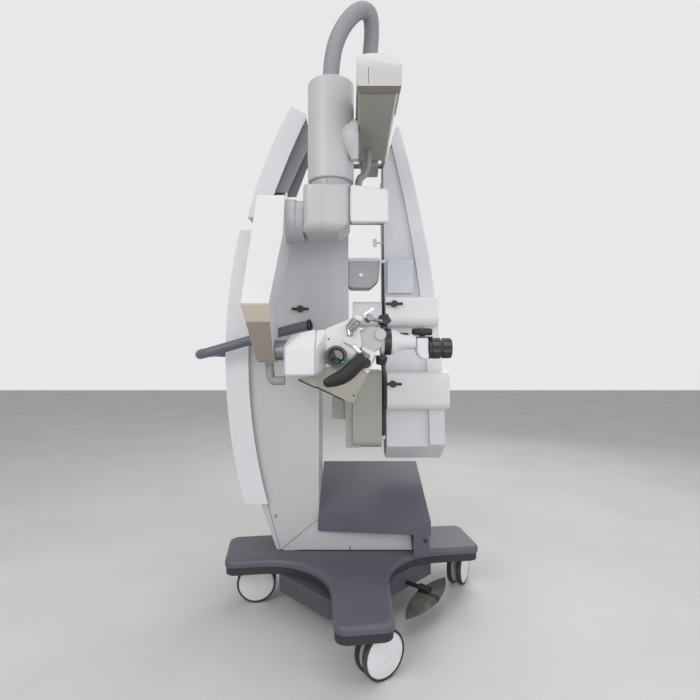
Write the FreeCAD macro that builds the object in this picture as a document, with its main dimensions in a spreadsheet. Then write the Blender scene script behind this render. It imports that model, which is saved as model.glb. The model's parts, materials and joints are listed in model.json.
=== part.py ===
"""Surgical microscope on its four-caster floor stand, as a parametric document.

Millimetres, +Z up. The origin is on the floor under the middle of the base.
+X is the side of the counterweight lever, -Y is the side the optics face.
The column carries a lever with weights at its foot, the lever's top carries a
level head, and the head carries the upper arm, the swing arm and the optics.
"""
import FreeCAD, Part
import math
import os
import Sketcher

V = FreeCAD.Vector
doc = FreeCAD.newDocument("SurgicalMicroscope")

SIZES = {
    "fit": 0.05, "gap": 0.3, 
    "base_top": 207, "cover_bottom": 181, "skirt_bottom": 151.5, "chassis_bottom": 84,
    "side_reach": 495, "front_reach": 595, "side_half": 122, "front_half": 90,
    "root_half": 108, "inner_round": 240, "end_round": 38, "rim_round": 14,
    "skirt_inset": 4, "chassis_left": 285, "chassis_right": 305, "chassis_front": 377,
    "chassis_diagonal": 470, "chassis_bay": 357, "base_yaw": 8,
    "lobe_skew": 50, "caster_left": 412, "caster_right": 440, "caster_front": 517,
    "caster_skew": 17, "base_x": -10, "base_y": -30, "wheel_radius": 75, "disc_radius": 68,
    "wheel_wide": 24, "web_wide": 15, "wheel_gap": 1.5, "caster_trail": 30,
    "axle_radius": 6, "stem_radius": 11, 
    "column_front": -112, "column_deep": 262, "column_left": -416, "column_right": -26,
    "foot_left": -305, "foot_right": -141, "waist_height": 369, "waist_left": -361,
    "shoulder_height": 620, "step_low": 850, "step_high": 905, "column_top": 1455,
    "top_left": -330, "column_round": 10, "panel_thick": 6, "panel_right": 221,
    "panel_rise": 121, "lip_low": 285,
    "box_left": -135, "box_right": 285, "box_front": -176, "box_back": 285,
    "box_front_top": 338, "box_front_left": -126, "box_back_top": 470, "box_round": 14,
    "bow_front": -132, "bow_deep": 300, "bow_wall": 5, "bow_band": 88,
    "lower_bow_top": 1447, "lower_bow_bottom": 391, "lower_bow_bulge": -499,
    "lower_bow_top_x": -444, "lower_bow_bottom_x": -425, "lower_bow_middle": 900,
    "upper_bow_bottom": 1515, "upper_bow_top": 1958, "upper_bow_bottom_x": -429,
    "upper_bow_top_x": -254, "upper_bow_middle_x": -356, "upper_bow_middle": 1745,
    "upper_bow_front": -60, "upper_bow_deep": 230,
    "right_bow_top": 1885, "right_bow_bottom": 526, "bow_slope_high": 76, "bow_slope_deep": 100,
    "inner_low": 595, "lever_low": 605,
    "right_bow_top_x": 178,
    "right_bow_middle_x": 319, "right_bow_middle": 1226, "right_bow_bottom_x": 364,
    "right_bow_left": 114, "right_bow_front": -40, "right_bow_deep": 210,
    "lever_pivot_z": 1540, "lever_pivot_y": 90, "pivot_radius": 18,
    "lever_thick": 14, "lever_wide": 88, "lever_x": 116,
    "head_z": 1776, "head_shaft_radius": 12, "left_lever_x": -307,
    "link_offset": 78, "link_pin_radius": 5,
    "weight_low": 747, "weight_low_top": 898, "weight_high": 1080, "weight_high_top": 1197,
    "weight_round": 34, "inner_left": 12, 
    "arm_left": 0, "arm_wide": 126, "arm_low": 1728, "arm_top": 1850, "nose_deep": 40, "nose_top": 1787,
    "nose_slope": 44,
    "arm_front": -637, "arm_back": -95, "arm_swivel_x": 63, "arm_swivel_y": 10,
    "tongue_half": 34, "tongue_low": 1752, "tongue_top": 1800, "swivel_pin_radius": 12,
    "clevis_thick": 14,
    "row_x": 62.19, "row_y": 31.8,
    "drum_x": -87, "drum_y": -300, "drum_radius": 80, "drum_low": 1568, "drum_top": 1911,
    "drum_roof": 60, "spindle_room": 69, "spindle_foot": 16,
    "drum_round": 6, "boss_z": 1722, "boss_radius": 68, 
    "neck_radius": 70, "spindle_radius": 25,
    "joint_radius": 100, "joint_z": 1452, "joint_top": 1542, "joint_low": 1352,
    "joint_round_low": 55, "joint_round_top": 24, "joint_left": -178, "joint_seam": -110,
    "cap_left": -20, "cap_right": 112, "cap_low": 1408, "cap_top": 1536,
    "hub_radius": 76, "hub_left": -238, "hub_gap": 1, "tilt_shaft_radius": 22,
    "swing_top_left": -330, "swing_low_left": -360,
    "swing_low_right": -272, 
    "elbow_y": -500, "elbow_z": 1129, "wrist_y": -372, "wrist_z": 985,
    "wrist_radius": 40, "wrist_pin_radius": 14,
    "drive_left": -224, "drive_right": -128, "drive_front": -505, "drive_back": -345,
    "drive_low": 905, "drive_top": 1002, "drive_back_top": 1050, "drive_round": 16,
    "output_y": -390, "output_rise": 42, "output_radius": 12,
    "scope_front": -452, "scope_deep": 128, "plate_thick": 6,
    "plate_right_x": 64, "plate_right_z": 966, "plate_shoulder_x": 34, "plate_shoulder_z": 1040,
    "plate_top_x": -14, "plate_top_z": 1066, "lens_x": -63, "lens_z": 967, "lens_radius": 34,
    "lens_long": 46, "grip_out": 38, "grip_radius": 24, "glass_radius": 26,
    "tube_z": 1014, "ring_left": 92, "ring_wide": 25, "ring_radius": 40,
    "tube_radius": 26, "tube_long": 80, "ocular_wide": 40, "ocular_z": 993,
    "eyepiece_radius": 35, "eyepiece_long": 49, "eyecup_long": 26, "eyecup_radius": 34,
    "disc_knob_radius": 32, "disc_knob_high": 18,
    "handle_tube_radius": 18, "handle_x": -182, "handle_z": 1078, "knob_bar": 66, "knob_bar_radius": 5,
    "knob_hub_radius": 13,
    "knob_hub_long": 20, "knob_stem": 5,
    "pedal_thick": 15, "pedal_z": 104, "pedal_shaft": 8, "pedal_reach": 86, "pedal_deep": 24,
    "pedal_x": 262, "pedal_y": -215, "pedal_turn": -39, "pedal_half": 34, "pedal_long": 135,
    "hose_radius": 29, "lead_radius": 3, 
    
}

sheet = doc.addObject("Spreadsheet::Sheet", "Sizes")
for row, (alias, value) in enumerate(SIZES.items(), start=1):
    cell = "A" + str(row)
    sheet.set(cell, str(value))
    sheet.setAlias(cell, alias)
doc.recompute()


def size(text):
    """The value, in millimetres or degrees, of an expression over the sheet's names."""
    return float(sheet.evalExpression(bound(text)))


def bound(text):
    """The expression with each sheet name written as Sizes.name."""
    words = []
    word = ""
    for letter in str(text) + " ":
        if letter.isalnum() or letter == "_":
            word += letter
        else:
            words.append("Sizes." + word if word in SIZES else word)
            words.append(letter)
            word = ""
    return "".join(words).strip()


NODES = {}


def keep(node, *pieces):
    """The finished solids that belong to one named piece of the object."""
    for index, piece in enumerate(pieces):
        piece.Label = node if index == 0 else node + "_" + str(index + 1)
    NODES[node] = pieces
    return pieces[0]


def seat(piece, x=0, y=0, z=0, axis=None, angle=0):
    """Places a piece from sheet expressions, turned about one axis."""
    if axis is not None:
        piece.Placement = FreeCAD.Placement(V(0, 0, 0), FreeCAD.Rotation(V(*axis), 1))
        piece.setExpression("Placement.Rotation.Angle", bound(angle))
    for name, value in (("x", x), ("y", y), ("z", z)):
        piece.setExpression("Placement.Base." + name, bound(value))
    return piece


def outline(piece, plane, corners, offset=None):
    """A closed sketch with every corner bound to the sheet.

    A corner is (u, v), or (u, v, "arc") for the middle point of an arc that
    runs from the corner before it to the corner after it.
    """
    sketch = piece.newObject("Sketcher::SketchObject", "Outline")
    faces = [item for item in piece.Origin.OriginFeatures if item.Role == plane]
    sketch.AttachmentSupport = [(faces[0], "")]
    sketch.MapMode = "FlatFace"
    if offset is not None:
        sketch.setExpression("AttachmentOffset.Base.z", bound(offset))
    spots = [V(size(corner[0]), size(corner[1]), 0) for corner in corners]
    index = 0
    count = len(corners)
    while index < count:
        after = (index + 1) % count
        if len(corners[after]) == 3:
            end = (index + 2) % count
            curve = Part.Arc(spots[index], spots[after], spots[end])
            sketch.addGeometry(curve)
            index += 2
        else:
            sketch.addGeometry(Part.LineSegment(spots[index], spots[after]))
            index += 1
    if all(len(corner) == 2 for corner in corners):
        for index in range(count):
            sketch.addConstraint(Sketcher.Constraint("Coincident", index, 2, (index + 1) % count, 1))
        for index, corner in enumerate(corners):
            for kind, text in (("DistanceX", corner[0]), ("DistanceY", corner[1])):
                number = sketch.addConstraint(Sketcher.Constraint(kind, -1, 1, index, 1, size(text)))
                sketch.setExpression("Constraints[" + str(number) + "]", bound(text))
    return sketch


def pad(name, plane, corners, length, offset=None):
    """A body padded from one outline."""
    piece = doc.addObject("PartDesign::Body", name)
    feature = piece.newObject("PartDesign::Pad", "Pad")
    feature.Profile = outline(piece, plane, corners, offset)
    feature.setExpression("Length", bound(length))
    doc.recompute()
    return piece


def turned(name, corners):
    """A body revolved about the Z axis from an outline of (radius, height)."""
    piece = doc.addObject("PartDesign::Body", name)
    sketch = outline(piece, "XZ_Plane", corners)
    feature = piece.newObject("PartDesign::Revolution", "Turn")
    feature.Profile = sketch
    feature.ReferenceAxis = (sketch, ["V_Axis"])
    feature.Angle = 360
    doc.recompute()
    return piece


def rounded(piece, radius, wanted):
    """A fillet on the edges of the body's last feature that wanted(edge) picks."""
    tip = piece.Tip
    names = []
    for index, edge in enumerate(tip.Shape.Edges, start=1):
        if wanted(edge):
            names.append("Edge" + str(index))
    feature = piece.newObject("PartDesign::Fillet", "Round")
    feature.Base = (tip, names)
    feature.setExpression("Radius", bound(radius))
    doc.recompute()
    return piece


def along(axis):
    """Picks straight edges that run along x, y or z."""
    def wanted(edge):
        if not isinstance(edge.Curve, Part.Line):
            return False
        return abs(getattr(edge.Curve.Direction, axis)) > 0.999
    return wanted


def level(axis, value):
    """Picks edges that lie wholly in a plane of constant x, y or z."""
    def wanted(edge):
        box = edge.BoundBox
        low = getattr(box, axis.upper() + "Min")
        high = getattr(box, axis.upper() + "Max")
        return abs(low - value) < 0.01 and abs(high - value) < 0.01
    return wanted


def block(name, low, span):
    """A box from its low corner and its three lengths."""
    piece = doc.addObject("Part::Box", name)
    for key, value in zip(("Length", "Width", "Height"), span):
        piece.setExpression(key, bound(value))
    return seat(piece, *low)


TURNS = {"x": ((0, 1, 0), 90), "y": ((1, 0, 0), -90), "z": (None, 0)}


def rod(name, radius, length, start, axis="z"):
    """A cylinder that runs from start along +x, +y or +z."""
    piece = doc.addObject("Part::Cylinder", name)
    piece.setExpression("Radius", bound(radius))
    piece.setExpression("Height", bound(length))
    turn, angle = TURNS[axis]
    return seat(piece, *start, turn, angle)


def cut(name, base, *tools):
    """The base with the tools taken away."""
    tool = tools[0] if len(tools) == 1 else fuse(name + "_tools", *tools)
    piece = doc.addObject("Part::Cut", name)
    piece.Base = base
    piece.Tool = tool
    return piece


def fuse(name, *parts):
    """One solid joined from several."""
    piece = doc.addObject("Part::MultiFuse", name)
    piece.Shapes = list(parts)
    return piece


def bend_wire(points, most=None):
    """Straight runs with a tangent arc at each corner, as large as its runs allow."""
    spots = [V(*point) for point in points]
    edges = []
    radii = []
    start = spots[0]
    for before, corner, after in zip(spots, spots[1:], spots[2:]):
        back = before - corner
        ahead = after - corner
        short = min(back.Length, ahead.Length)
        turn = math.pi - back.getAngle(ahead)
        trim = 0.45 * short
        if most is not None:
            trim = min(trim, most * math.tan(turn / 2))
        radii.append(trim / math.tan(turn / 2))
        into = corner + back.normalize() * trim
        out = corner + ahead.normalize() * trim
        bisector = (into + out) * 0.5 - corner
        reach = radii[-1] / math.cos(turn / 2) - radii[-1]
        middle = corner + bisector.normalize() * reach
        edges.append(Part.LineSegment(start, into).toShape())
        edges.append(Part.Arc(into, middle, out).toShape())
        start = out
    edges.append(Part.LineSegment(start, spots[-1]).toShape())
    return Part.Wire(edges), radii


def tube(name, points, radius, most=None, bore=None):
    """A round tube along a route of points."""
    wire, radii = bend_wire(points, most)
    heading = V(*points[1]) - V(*points[0])
    ring = Part.Wire(Part.makeCircle(radius, V(*points[0]), heading))
    shape = wire.makePipeShell([ring], True, False)
    if bore is not None:
        hole = Part.Wire(Part.makeCircle(bore, V(*points[0]), heading))
        shape = shape.cut(wire.makePipeShell([hole], True, False))
        shape = shape.Solids[0]
    expected = math.pi * (radius ** 2 - (bore or 0) ** 2) * wire.Length
    print(name, "length", round(wire.Length), "least radius", round(min(radii)),
          "volume ratio", round(shape.Volume / expected, 3))
    piece = doc.addObject("Part::Feature", name)
    piece.Shape = shape
    return piece


# The base: a cross-shaped cover, a dark skirt under it and a lower chassis

def cross(grow, side, front, low, high, name):
    """A cross-shaped slab with tapered arms and large inner rounds."""
    ends = str(side) + " - " + grow
    tips = str(front) + " - " + grow
    wide = "side_half - " + grow
    slim = "front_half - " + grow
    root = "root_half - " + grow
    quarter = [(ends, wide, "0"), (root, wide, "0"), (slim, tips, "lobe_skew")]
    signs = ((1, 1), (-1, 1), (-1, -1), (1, -1))
    corners = []
    for along_x, along_y in signs:
        three = [(str(along_x) + " * (" + u + ") + " + str(along_y) + " * " + skew,
                  str(along_y) + " * (" + v + ")")
                 for u, v, skew in quarter]
        corners += three if along_x * along_y > 0 else three[::-1]
    piece = pad(name, "XY_Plane", corners, high + " - " + low)
    inner = size("root_half + 30")

    def concave(edge):
        return along("z")(edge) and abs(edge.Vertexes[0].X) < inner and abs(edge.Vertexes[0].Y) < inner * 1.3

    rounded(piece, "inner_round", concave)
    reach = size("side_reach") * 0.8
    tall = size("front_reach") * 0.8

    def outer(edge):
        spot = edge.Vertexes[0]
        return along("z")(edge) and (abs(spot.X) > reach or abs(spot.Y) > tall)

    rounded(piece, "end_round", outer)
    return piece


cover = cross("0", "side_reach", "front_reach", "cover_bottom", "base_top", "Cover")
rounded(cover, "rim_round", level("z", size("base_top - cover_bottom")))
seat(cover, "base_x", "base_y", "cover_bottom", (0, 0, 1), "base_yaw")
keep("base_cover", cover)

CASTERS = (("left", "-caster_left", "0", 8), ("front", "-caster_skew", "-caster_front", 34),
           ("right", "caster_right", "0", 62), ("rear", "caster_skew", "caster_front", 20))


def caster_spot(side, ahead):
    """Where a caster's swivel axis stands, turned with the base."""
    yaw = math.radians(size("base_yaw"))
    u = size(side)
    v = size(ahead)
    return (size("base_x") + u * math.cos(yaw) - v * math.sin(yaw),
            size("base_y") + u * math.sin(yaw) + v * math.cos(yaw))


def caster_place(piece, side, ahead, angle):
    """Seats a caster piece on its swivel axis, turned by its own angle."""
    spot = caster_spot(side, ahead)
    piece.Placement = FreeCAD.Placement(V(spot[0], spot[1], 0), FreeCAD.Rotation(V(0, 0, 1), angle))
    return piece


skirt_slab = cross("skirt_inset", "side_reach", "front_reach", "skirt_bottom", "cover_bottom", "Skirt")
seat(skirt_slab, "base_x", "base_y", "skirt_bottom", (0, 0, 1), "base_yaw")
bores = []
for label, side, ahead, angle in CASTERS:
    bore = doc.addObject("Part::Cylinder", "StemBore")
    bore.setExpression("Radius", bound("stem_radius + fit"))
    bore.setExpression("Height", bound("cover_bottom"))
    bores.append(caster_place(bore, side, ahead, 0))
keep("base_skirt", cut("SkirtBored", skirt_slab, *bores))

# The chassis is a flat octagon under the skirt; the pedal's bay cuts deeper into it
chassis_corners = [
    ("-chassis_left", "chassis_left - chassis_diagonal"), ("chassis_front - chassis_diagonal", "-chassis_front"),
    ("chassis_diagonal - chassis_front - 13", "-chassis_front"), ("100", "100 - chassis_bay"),
    ("chassis_right", "chassis_right - chassis_bay"), ("chassis_right", "90"), ("110", "300"), ("-110", "300"),
    ("-chassis_left", "100")]
chassis = pad("Chassis", "XY_Plane", chassis_corners, "skirt_bottom - chassis_bottom")
rounded(chassis, 12, along("z"))
seat(chassis, 0, 0, "chassis_bottom")
keep("base_chassis", chassis)


def caster(label, side, ahead, angle):
    """One twin-wheel caster: swivel housing, axle, two wheel discs and two tyres."""
    neck = "skirt_bottom - 1.5"
    web_points = [("-stem_radius - 9", neck + " - 16"), ("-stem_radius - 9", neck),
                  ("stem_radius + 12", neck),
                  ("caster_trail + 32", "wheel_radius + 34"), ("caster_trail + 20", "wheel_radius - 22"),
                  ("caster_trail - 16", "wheel_radius - 22"), ("caster_trail - 30", "wheel_radius + 10")]
    web = pad("Web", "XZ_Plane", web_points, "web_wide")
    seat(web, 0, "web_wide / 2", 0)
    stem = rod("Stem", "stem_radius", "cover_bottom - 3 - skirt_bottom + 6.5", (0, 0, neck + " - 5"))
    bore = rod("AxleBore", "axle_radius + fit / 2", "web_wide * 2",
               ("caster_trail", "-web_wide", "wheel_radius"), "y")
    housing = cut("Housing", fuse("WebStem", web, stem), bore)
    reach = "web_wide / 2 + wheel_gap + wheel_wide + 3"
    axle_rod = rod("AxleRod", "axle_radius", "2 * (" + reach + ")",
                   ("caster_trail", "-(" + reach + ")", "wheel_radius"), "y")
    collar = rod("AxleCollar", "axle_radius + 3", 2, ("caster_trail", reach, "wheel_radius"), "y")
    axle = fuse("Axle", axle_rod, collar)
    keep("caster_housing_" + label, caster_place(housing, side, ahead, angle),
         caster_place(axle, side, ahead, angle))
    discs = []
    tyres = []
    for mirror in (1, -1):
        disc = turned("Disc", [("axle_radius + fit", 0), ("disc_radius", 0),
                               ("disc_radius", "wheel_wide - 6"),
                               ("disc_radius - 5", "wheel_wide - 2"),
                               ("disc_radius - 24", "wheel_wide + 1"),
                               ("axle_radius + 12", "wheel_wide + 1"),
                               ("axle_radius + fit", "wheel_wide - 1")])
        tyre = turned("Tyre", [("disc_radius", 2), ("wheel_radius - 4", 0), ("wheel_radius", 5),
                               ("wheel_radius", "wheel_wide - 7"), ("wheel_radius - 4", "wheel_wide - 3"),
                               ("disc_radius", "wheel_wide - 6")])
        for piece, group in ((disc, discs), (tyre, tyres)):
            spare = doc.addObject("Part::Compound", "WheelHold")
            spare.Links = [piece]
            seat(piece, "caster_trail", str(mirror) + " * (web_wide / 2 + wheel_gap)", "wheel_radius",
                 (1, 0, 0), -90 * mirror)
            group.append(caster_place(spare, side, ahead, angle))
    keep("caster_wheels_" + label, *discs, *tyres)


for spec in CASTERS:
    caster(*spec)


# The column: a tapered housing, a foot panel and the slate cover beside it

column = pad("Column", "XZ_Plane", [
    ("foot_left", "base_top"), ("foot_right", "base_top"), ("foot_right", "step_low"),
    ("column_right", "step_high"), ("column_right", "column_top"), ("top_left", "column_top"),
    ("column_left", "column_top - 150"), ("column_left", "shoulder_height"),
    ("waist_left", "waist_height")],
    "column_deep")
rounded(column, "column_round", along("y"))
seat(column, 0, "column_front + column_deep", 0)
handle_bores = [rod("HandleBore", "handle_tube_radius + fit", 30, ("handle_x", face, "handle_z"), "y")
                for face in ("column_front - 5", "column_front + column_deep - 25")]
keep("column_housing", cut("ColumnCut", column, *handle_bores))

panel = pad("Panel", "XZ_Plane", [
    ("foot_left + 24", "base_top + gap"), ("panel_right", "base_top + gap"),
    ("panel_right - 4", "lip_low - 12"),
    ("foot_right - 2", "lip_low - gap"), ("foot_right - 2", "base_top + panel_rise + 6")], "panel_thick")
seat(panel, 0, "column_front - gap", 0)
keep("foot_panel", panel)

slope = pad("BoxSlope", "YZ_Plane", [
    ("box_front - 10", "lip_low"), ("box_front - 10", "box_front_top - 3"),
    ("box_back - 40", "box_back_top"),
    ("box_back", "box_back_top - 40"), ("box_back", "base_top + gap"),
    ("column_front + 40", "base_top + gap"),
    ("column_front + 40", "lip_low")], "box_right - foot_right - 2 * gap")
rounded(slope, "box_round", along("x"))
seat(slope, "foot_right + gap", 0, 0)
leg = block("BoxLeg", ("panel_right + gap", "box_front - 4", "base_top + gap"),
            ("box_right - panel_right - 2 * gap - 4", 160, "lip_low - base_top + 10"))
box_whole = fuse("BoxWhole", slope, leg)
front_trim = pad("FrontTrim", "XY_Plane", [
    ("box_left - 20", "box_front_left"), ("box_left - 20", "box_front - 60"),
    ("box_right + 20", "box_front - 60"),
    ("box_right + 20", "box_front")], 700)
keep("weight_cover", cut("BoxCut", box_whole, front_trim))


# The bows: curved channel covers with flanges front and back

def channel(name, outer, inner, front, deep):
    """A crescent extruded in depth and hollowed between its two flanges."""
    shell = pad(name, "XZ_Plane", outer + inner, deep)
    seat(shell, 0, front + " + " + deep, 0)
    return shell


lower_outer = [("lower_bow_bottom_x", "lower_bow_bottom"), ("lower_bow_bulge", "lower_bow_middle", "arc"),
               ("lower_bow_top_x", "lower_bow_top")]
lower_inner = [("lower_bow_top_x + bow_band", "lower_bow_top"),
               ("lower_bow_bulge + bow_band", "lower_bow_middle", "arc"),
               ("lower_bow_bottom_x + bow_band", "lower_bow_bottom")]
lower_shell = channel("LowerBow", lower_outer, lower_inner, "bow_front", "bow_deep")
hollow_outer = [("lower_bow_bottom_x + bow_wall", "lower_bow_bottom + bow_wall"),
                ("lower_bow_bulge + bow_wall", "lower_bow_middle", "arc"),
                ("lower_bow_top_x + bow_wall", "lower_bow_top - bow_wall")]
hollow_inner = [("lower_bow_top_x + bow_band + 40", "lower_bow_top - bow_wall"),
                ("lower_bow_bulge + bow_band + 40", "lower_bow_middle", "arc"),
                ("lower_bow_bottom_x + bow_band + 40", "lower_bow_bottom + bow_wall")]
lower_hollow = channel("LowerHollow", hollow_outer, hollow_inner, "bow_front + bow_wall",
                       "bow_deep - 2 * bow_wall")
column_room = pad("ColumnRoom", "XZ_Plane", [
    ("foot_left - gap", "base_top"), ("foot_right", "base_top"), ("foot_right", "column_top + gap"),
    ("top_left", "column_top + gap"), ("column_left - gap", "column_top - 150 + gap"),
    ("column_left - gap", "shoulder_height"), ("waist_left - gap", "waist_height")],
    "column_deep + 2 * gap")
seat(column_room, 0, "column_front + column_deep + gap", 0)
keep("left_lower_bow", cut("LowerBowShell", lower_shell, lower_hollow, column_room))

upper_outer = [("upper_bow_bottom_x", "upper_bow_bottom"),
               ("upper_bow_middle_x", "upper_bow_middle", "arc"),
               ("upper_bow_top_x", "upper_bow_top")]
upper_inner = [("upper_bow_top_x + 62", "upper_bow_top - 34"),
               ("upper_bow_middle_x + 70", "upper_bow_middle - 40", "arc"),
               ("upper_bow_bottom_x + 70", "upper_bow_bottom")]
upper_shell = channel("UpperBow", upper_outer, upper_inner, "upper_bow_front", "upper_bow_deep")
upper_hollow_outer = [("upper_bow_bottom_x + 6", "upper_bow_bottom + 5"),
                      ("upper_bow_middle_x + 5", "upper_bow_middle - 3", "arc"),
                      ("upper_bow_top_x + 4", "upper_bow_top - 9")]
upper_hollow_inner = [("upper_bow_top_x + 90", "upper_bow_top - 60"),
                      ("upper_bow_middle_x + 100", "upper_bow_middle - 60", "arc"),
                      ("upper_bow_bottom_x + 100", "upper_bow_bottom + 5")]
upper_hollow = channel("UpperHollow", upper_hollow_outer, upper_hollow_inner, "upper_bow_front + bow_wall",
                       "upper_bow_deep - 2 * bow_wall")
keep("left_upper_bow", cut("UpperBowShell", upper_shell, upper_hollow))


# The right bow: an outer wall, a recessed front panel and an open left side

def right_bow_outline(grow, lift):
    """The bow's outline, moved in by grow at the outer arc and lift at the ends."""
    return [("right_bow_left + 17", "right_bow_bottom + " + lift),
            ("right_bow_bottom_x - " + grow, "right_bow_bottom + " + lift),
            ("right_bow_middle_x - " + grow, "right_bow_middle", "arc"),
            ("right_bow_top_x - " + grow + " / 2", "right_bow_top - " + lift),
            ("right_bow_top_x - 14 - " + grow + " / 2", "right_bow_top - " + lift),
            ("right_bow_left", "right_bow_top - 168")]


def in_front(name, corners, front, deep):
    """A slab cut from an outline in the front view, front being its -Y face."""
    piece = pad(name, "XZ_Plane", corners, deep)
    return seat(piece, 0, str(front) + " + " + str(deep), 0)


bow_whole = in_front("RightBow", right_bow_outline("0", "0"), "right_bow_front", "right_bow_deep")
band_recess = in_front("BandRecess", [
    ("right_bow_left - 20", "right_bow_bottom - 5"), ("right_bow_bottom_x - 62", "right_bow_bottom - 5"),
    ("right_bow_middle_x - 58", "right_bow_middle", "arc"), ("right_bow_top_x - 30", "right_bow_top - 70"),
    ("right_bow_left - 20", "right_bow_top - 150")], "right_bow_front - 5", "19")
bow_hollow = in_front("BowHollow", [
    ("right_bow_left - 20", "right_bow_bottom + bow_wall"),
    ("right_bow_bottom_x - bow_wall", "right_bow_bottom + bow_wall"),
    ("right_bow_middle_x - bow_wall", "right_bow_middle", "arc"),
    ("right_bow_top_x - 12", "right_bow_top - 14"), ("right_bow_left - 20", "right_bow_top - 180")],
    "right_bow_front + 19", "right_bow_deep - 24")


def bow_slope(name, more):
    """The wedge under the bow's sloping lower front face."""
    wedge = pad(name, "YZ_Plane", [
        ("right_bow_front - 10", "right_bow_bottom - 10"),
        ("right_bow_front - 10", "right_bow_bottom + bow_slope_high * (1 + 10 / bow_slope_deep) + " + more),
        ("right_bow_front", "right_bow_bottom + bow_slope_high + " + more),
        ("right_bow_front + bow_slope_deep + " + more, "right_bow_bottom"),
        ("right_bow_front + bow_slope_deep + " + more, "right_bow_bottom - 10")], 400)
    return seat(wedge, "right_bow_left - 50", 0, 0)


bow_hollow = cut("BowHollowCut", bow_hollow, bow_slope("HollowSlope", "8"))
bow_whole = cut("BowWholeCut", bow_whole, bow_slope("BowSlope", "0"))
lugs = [block("LeadLug", ("right_bow_left - 8", "right_bow_front - 12", height), (16, 30, 12))
        for height in ("1334", "626")]
keep("right_bow", fuse("RightBowAndLugs", cut("RightBowShell", bow_whole, band_recess, bow_hollow), *lugs))


# The lever: a pivot shaft, two side plates, a top shaft and the weights


def lever_plate(name, left, low):
    """One side plate of the lever, bored for both shafts."""
    half = "lever_wide / 2"
    plate = pad(name, "YZ_Plane", [
        ("lever_pivot_y - " + half, low), ("lever_pivot_y + " + half, low),
        ("lever_pivot_y + " + half, "head_z - 30"), ("lever_pivot_y + " + half + " - 22", "head_z + 26"),
        ("lever_pivot_y - " + half + " + 22", "head_z + 26"), ("lever_pivot_y - " + half, "head_z - 30")],
        "lever_thick")
    seat(plate, left, 0, 0)
    pivot_bore = rod("PivotBore", "pivot_radius + fit / 2", "lever_thick + 20",
                     (left + " - 10", "lever_pivot_y", "lever_pivot_z"), "x")
    shaft_bore = rod("ShaftBore", "head_shaft_radius + fit / 2", "lever_thick + 20",
                     (left + " - 10", "lever_pivot_y", "head_z"), "x")
    return cut(name + "Bored", plate, pivot_bore, shaft_bore)


left_plate = lever_plate("LeftPlate", "left_lever_x", "lever_pivot_z - 40")
right_plate = lever_plate("RightPlate", "lever_x", "lever_low")
keep("lever_plates", left_plate, right_plate)
span = "lever_x + lever_thick - left_lever_x"
pivot_shaft = rod("PivotShaft", "pivot_radius", span, ("left_lever_x", "lever_pivot_y", "lever_pivot_z"),
                  "x")
head_shaft = rod("HeadShaft", "head_shaft_radius", span, ("left_lever_x", "lever_pivot_y", "head_z"), "x")
keep("lever_shafts", pivot_shaft, head_shaft)

bearing = block("Bearing", ("top_left + 40", "lever_pivot_y - 85", "column_top + gap"),
                ("column_right - top_left - 76", 130, "lever_pivot_z - column_top + 34"))
bearing_bore = rod("BearingBore", "pivot_radius + fit", "column_right - top_left",
                   ("top_left", "lever_pivot_y", "lever_pivot_z"), "x")
link_seat = rod("LinkSeat", "link_pin_radius", 26,
                ("column_right - 36.5", "lever_pivot_y - link_offset", "lever_pivot_z"), "x")
keep("column_head", fuse("HeadAndPin", cut("BearingBored", bearing, bearing_bore), link_seat))

strut = block("Bracket", ("left_lever_x - 44", "lever_pivot_y + lever_wide / 2 + gap", "1630"),
              ("lever_thick + 44", "upper_bow_front + upper_bow_deep - bow_wall - lever_pivot_y - "
               "lever_wide / 2 - 2 * gap", 60))
rear_gap = "right_bow_front + right_bow_deep - bow_wall - lever_pivot_y - lever_wide / 2 - 2 * gap"
brackets = [block("RightBracket", ("lever_x", "lever_pivot_y + lever_wide / 2 + gap", height),
                  ("60", rear_gap, 60)) for height in ("760", "1300", "1600")]
keep("bow_brackets", strut, *brackets)


def weight(name, left, right, low, top):
    """A lever weight in front of the bow's panel, with a rolled front."""
    piece = pad(name, "YZ_Plane", [
        ("right_bow_front - 66", low), ("right_bow_front - 66", top), ("right_bow_front - gap", top),
        ("right_bow_front - gap", low)], right + " - " + left)
    front = size("right_bow_front - 66")
    rounded(piece, "weight_round", lambda edge: along("x")(edge) and abs(edge.Vertexes[0].Y - front) < 0.01)
    return seat(piece, left, 0, 0)


def knob_bore(x, y, z):
    """The hole that a T-knob's stem turns in."""
    return rod("KnobBore", "knob_stem + fit", 26, (x, y, z), "y")


high_block = weight("HighWeight", "right_bow_left + 6", "right_bow_middle_x - 4", "weight_high",
                    "weight_high_top")
low_block = weight("LowWeight", "right_bow_left + 12", "right_bow_bottom_x - 18", "weight_low",
                   "weight_low_top")
keep("upper_weight", cut("UpperWeight", high_block, knob_bore(152, "right_bow_front - 70", 1164)))
keep("lower_weight", cut("LowerWeight", low_block, knob_bore(147, "right_bow_front - 70", 852)))


def inner_weight(name, low, top):
    """A weight between the column and the bow, with a boss onto the lever beam."""
    piece = pad(name, "YZ_Plane", [
        ("right_bow_front - 44", low), ("right_bow_front - 44", top), ("lever_pivot_y + 40", top),
        ("lever_pivot_y + 40", low)], "right_bow_left - inner_left + 20 - 8")
    front = size("right_bow_front - 44")
    rounded(piece, "weight_round", lambda edge: along("x")(edge) and abs(edge.Vertexes[0].Y - front) < 0.01)
    seat(piece, "inner_left - 20", 0, 0)
    boss = rod(name + "Boss", 30, "lever_x - right_bow_left + 9 - gap",
               ("right_bow_left - 9", "lever_pivot_y", "(" + low + " + " + top + ") / 2"), "x")
    return fuse(name + "Whole", piece, boss)


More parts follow.
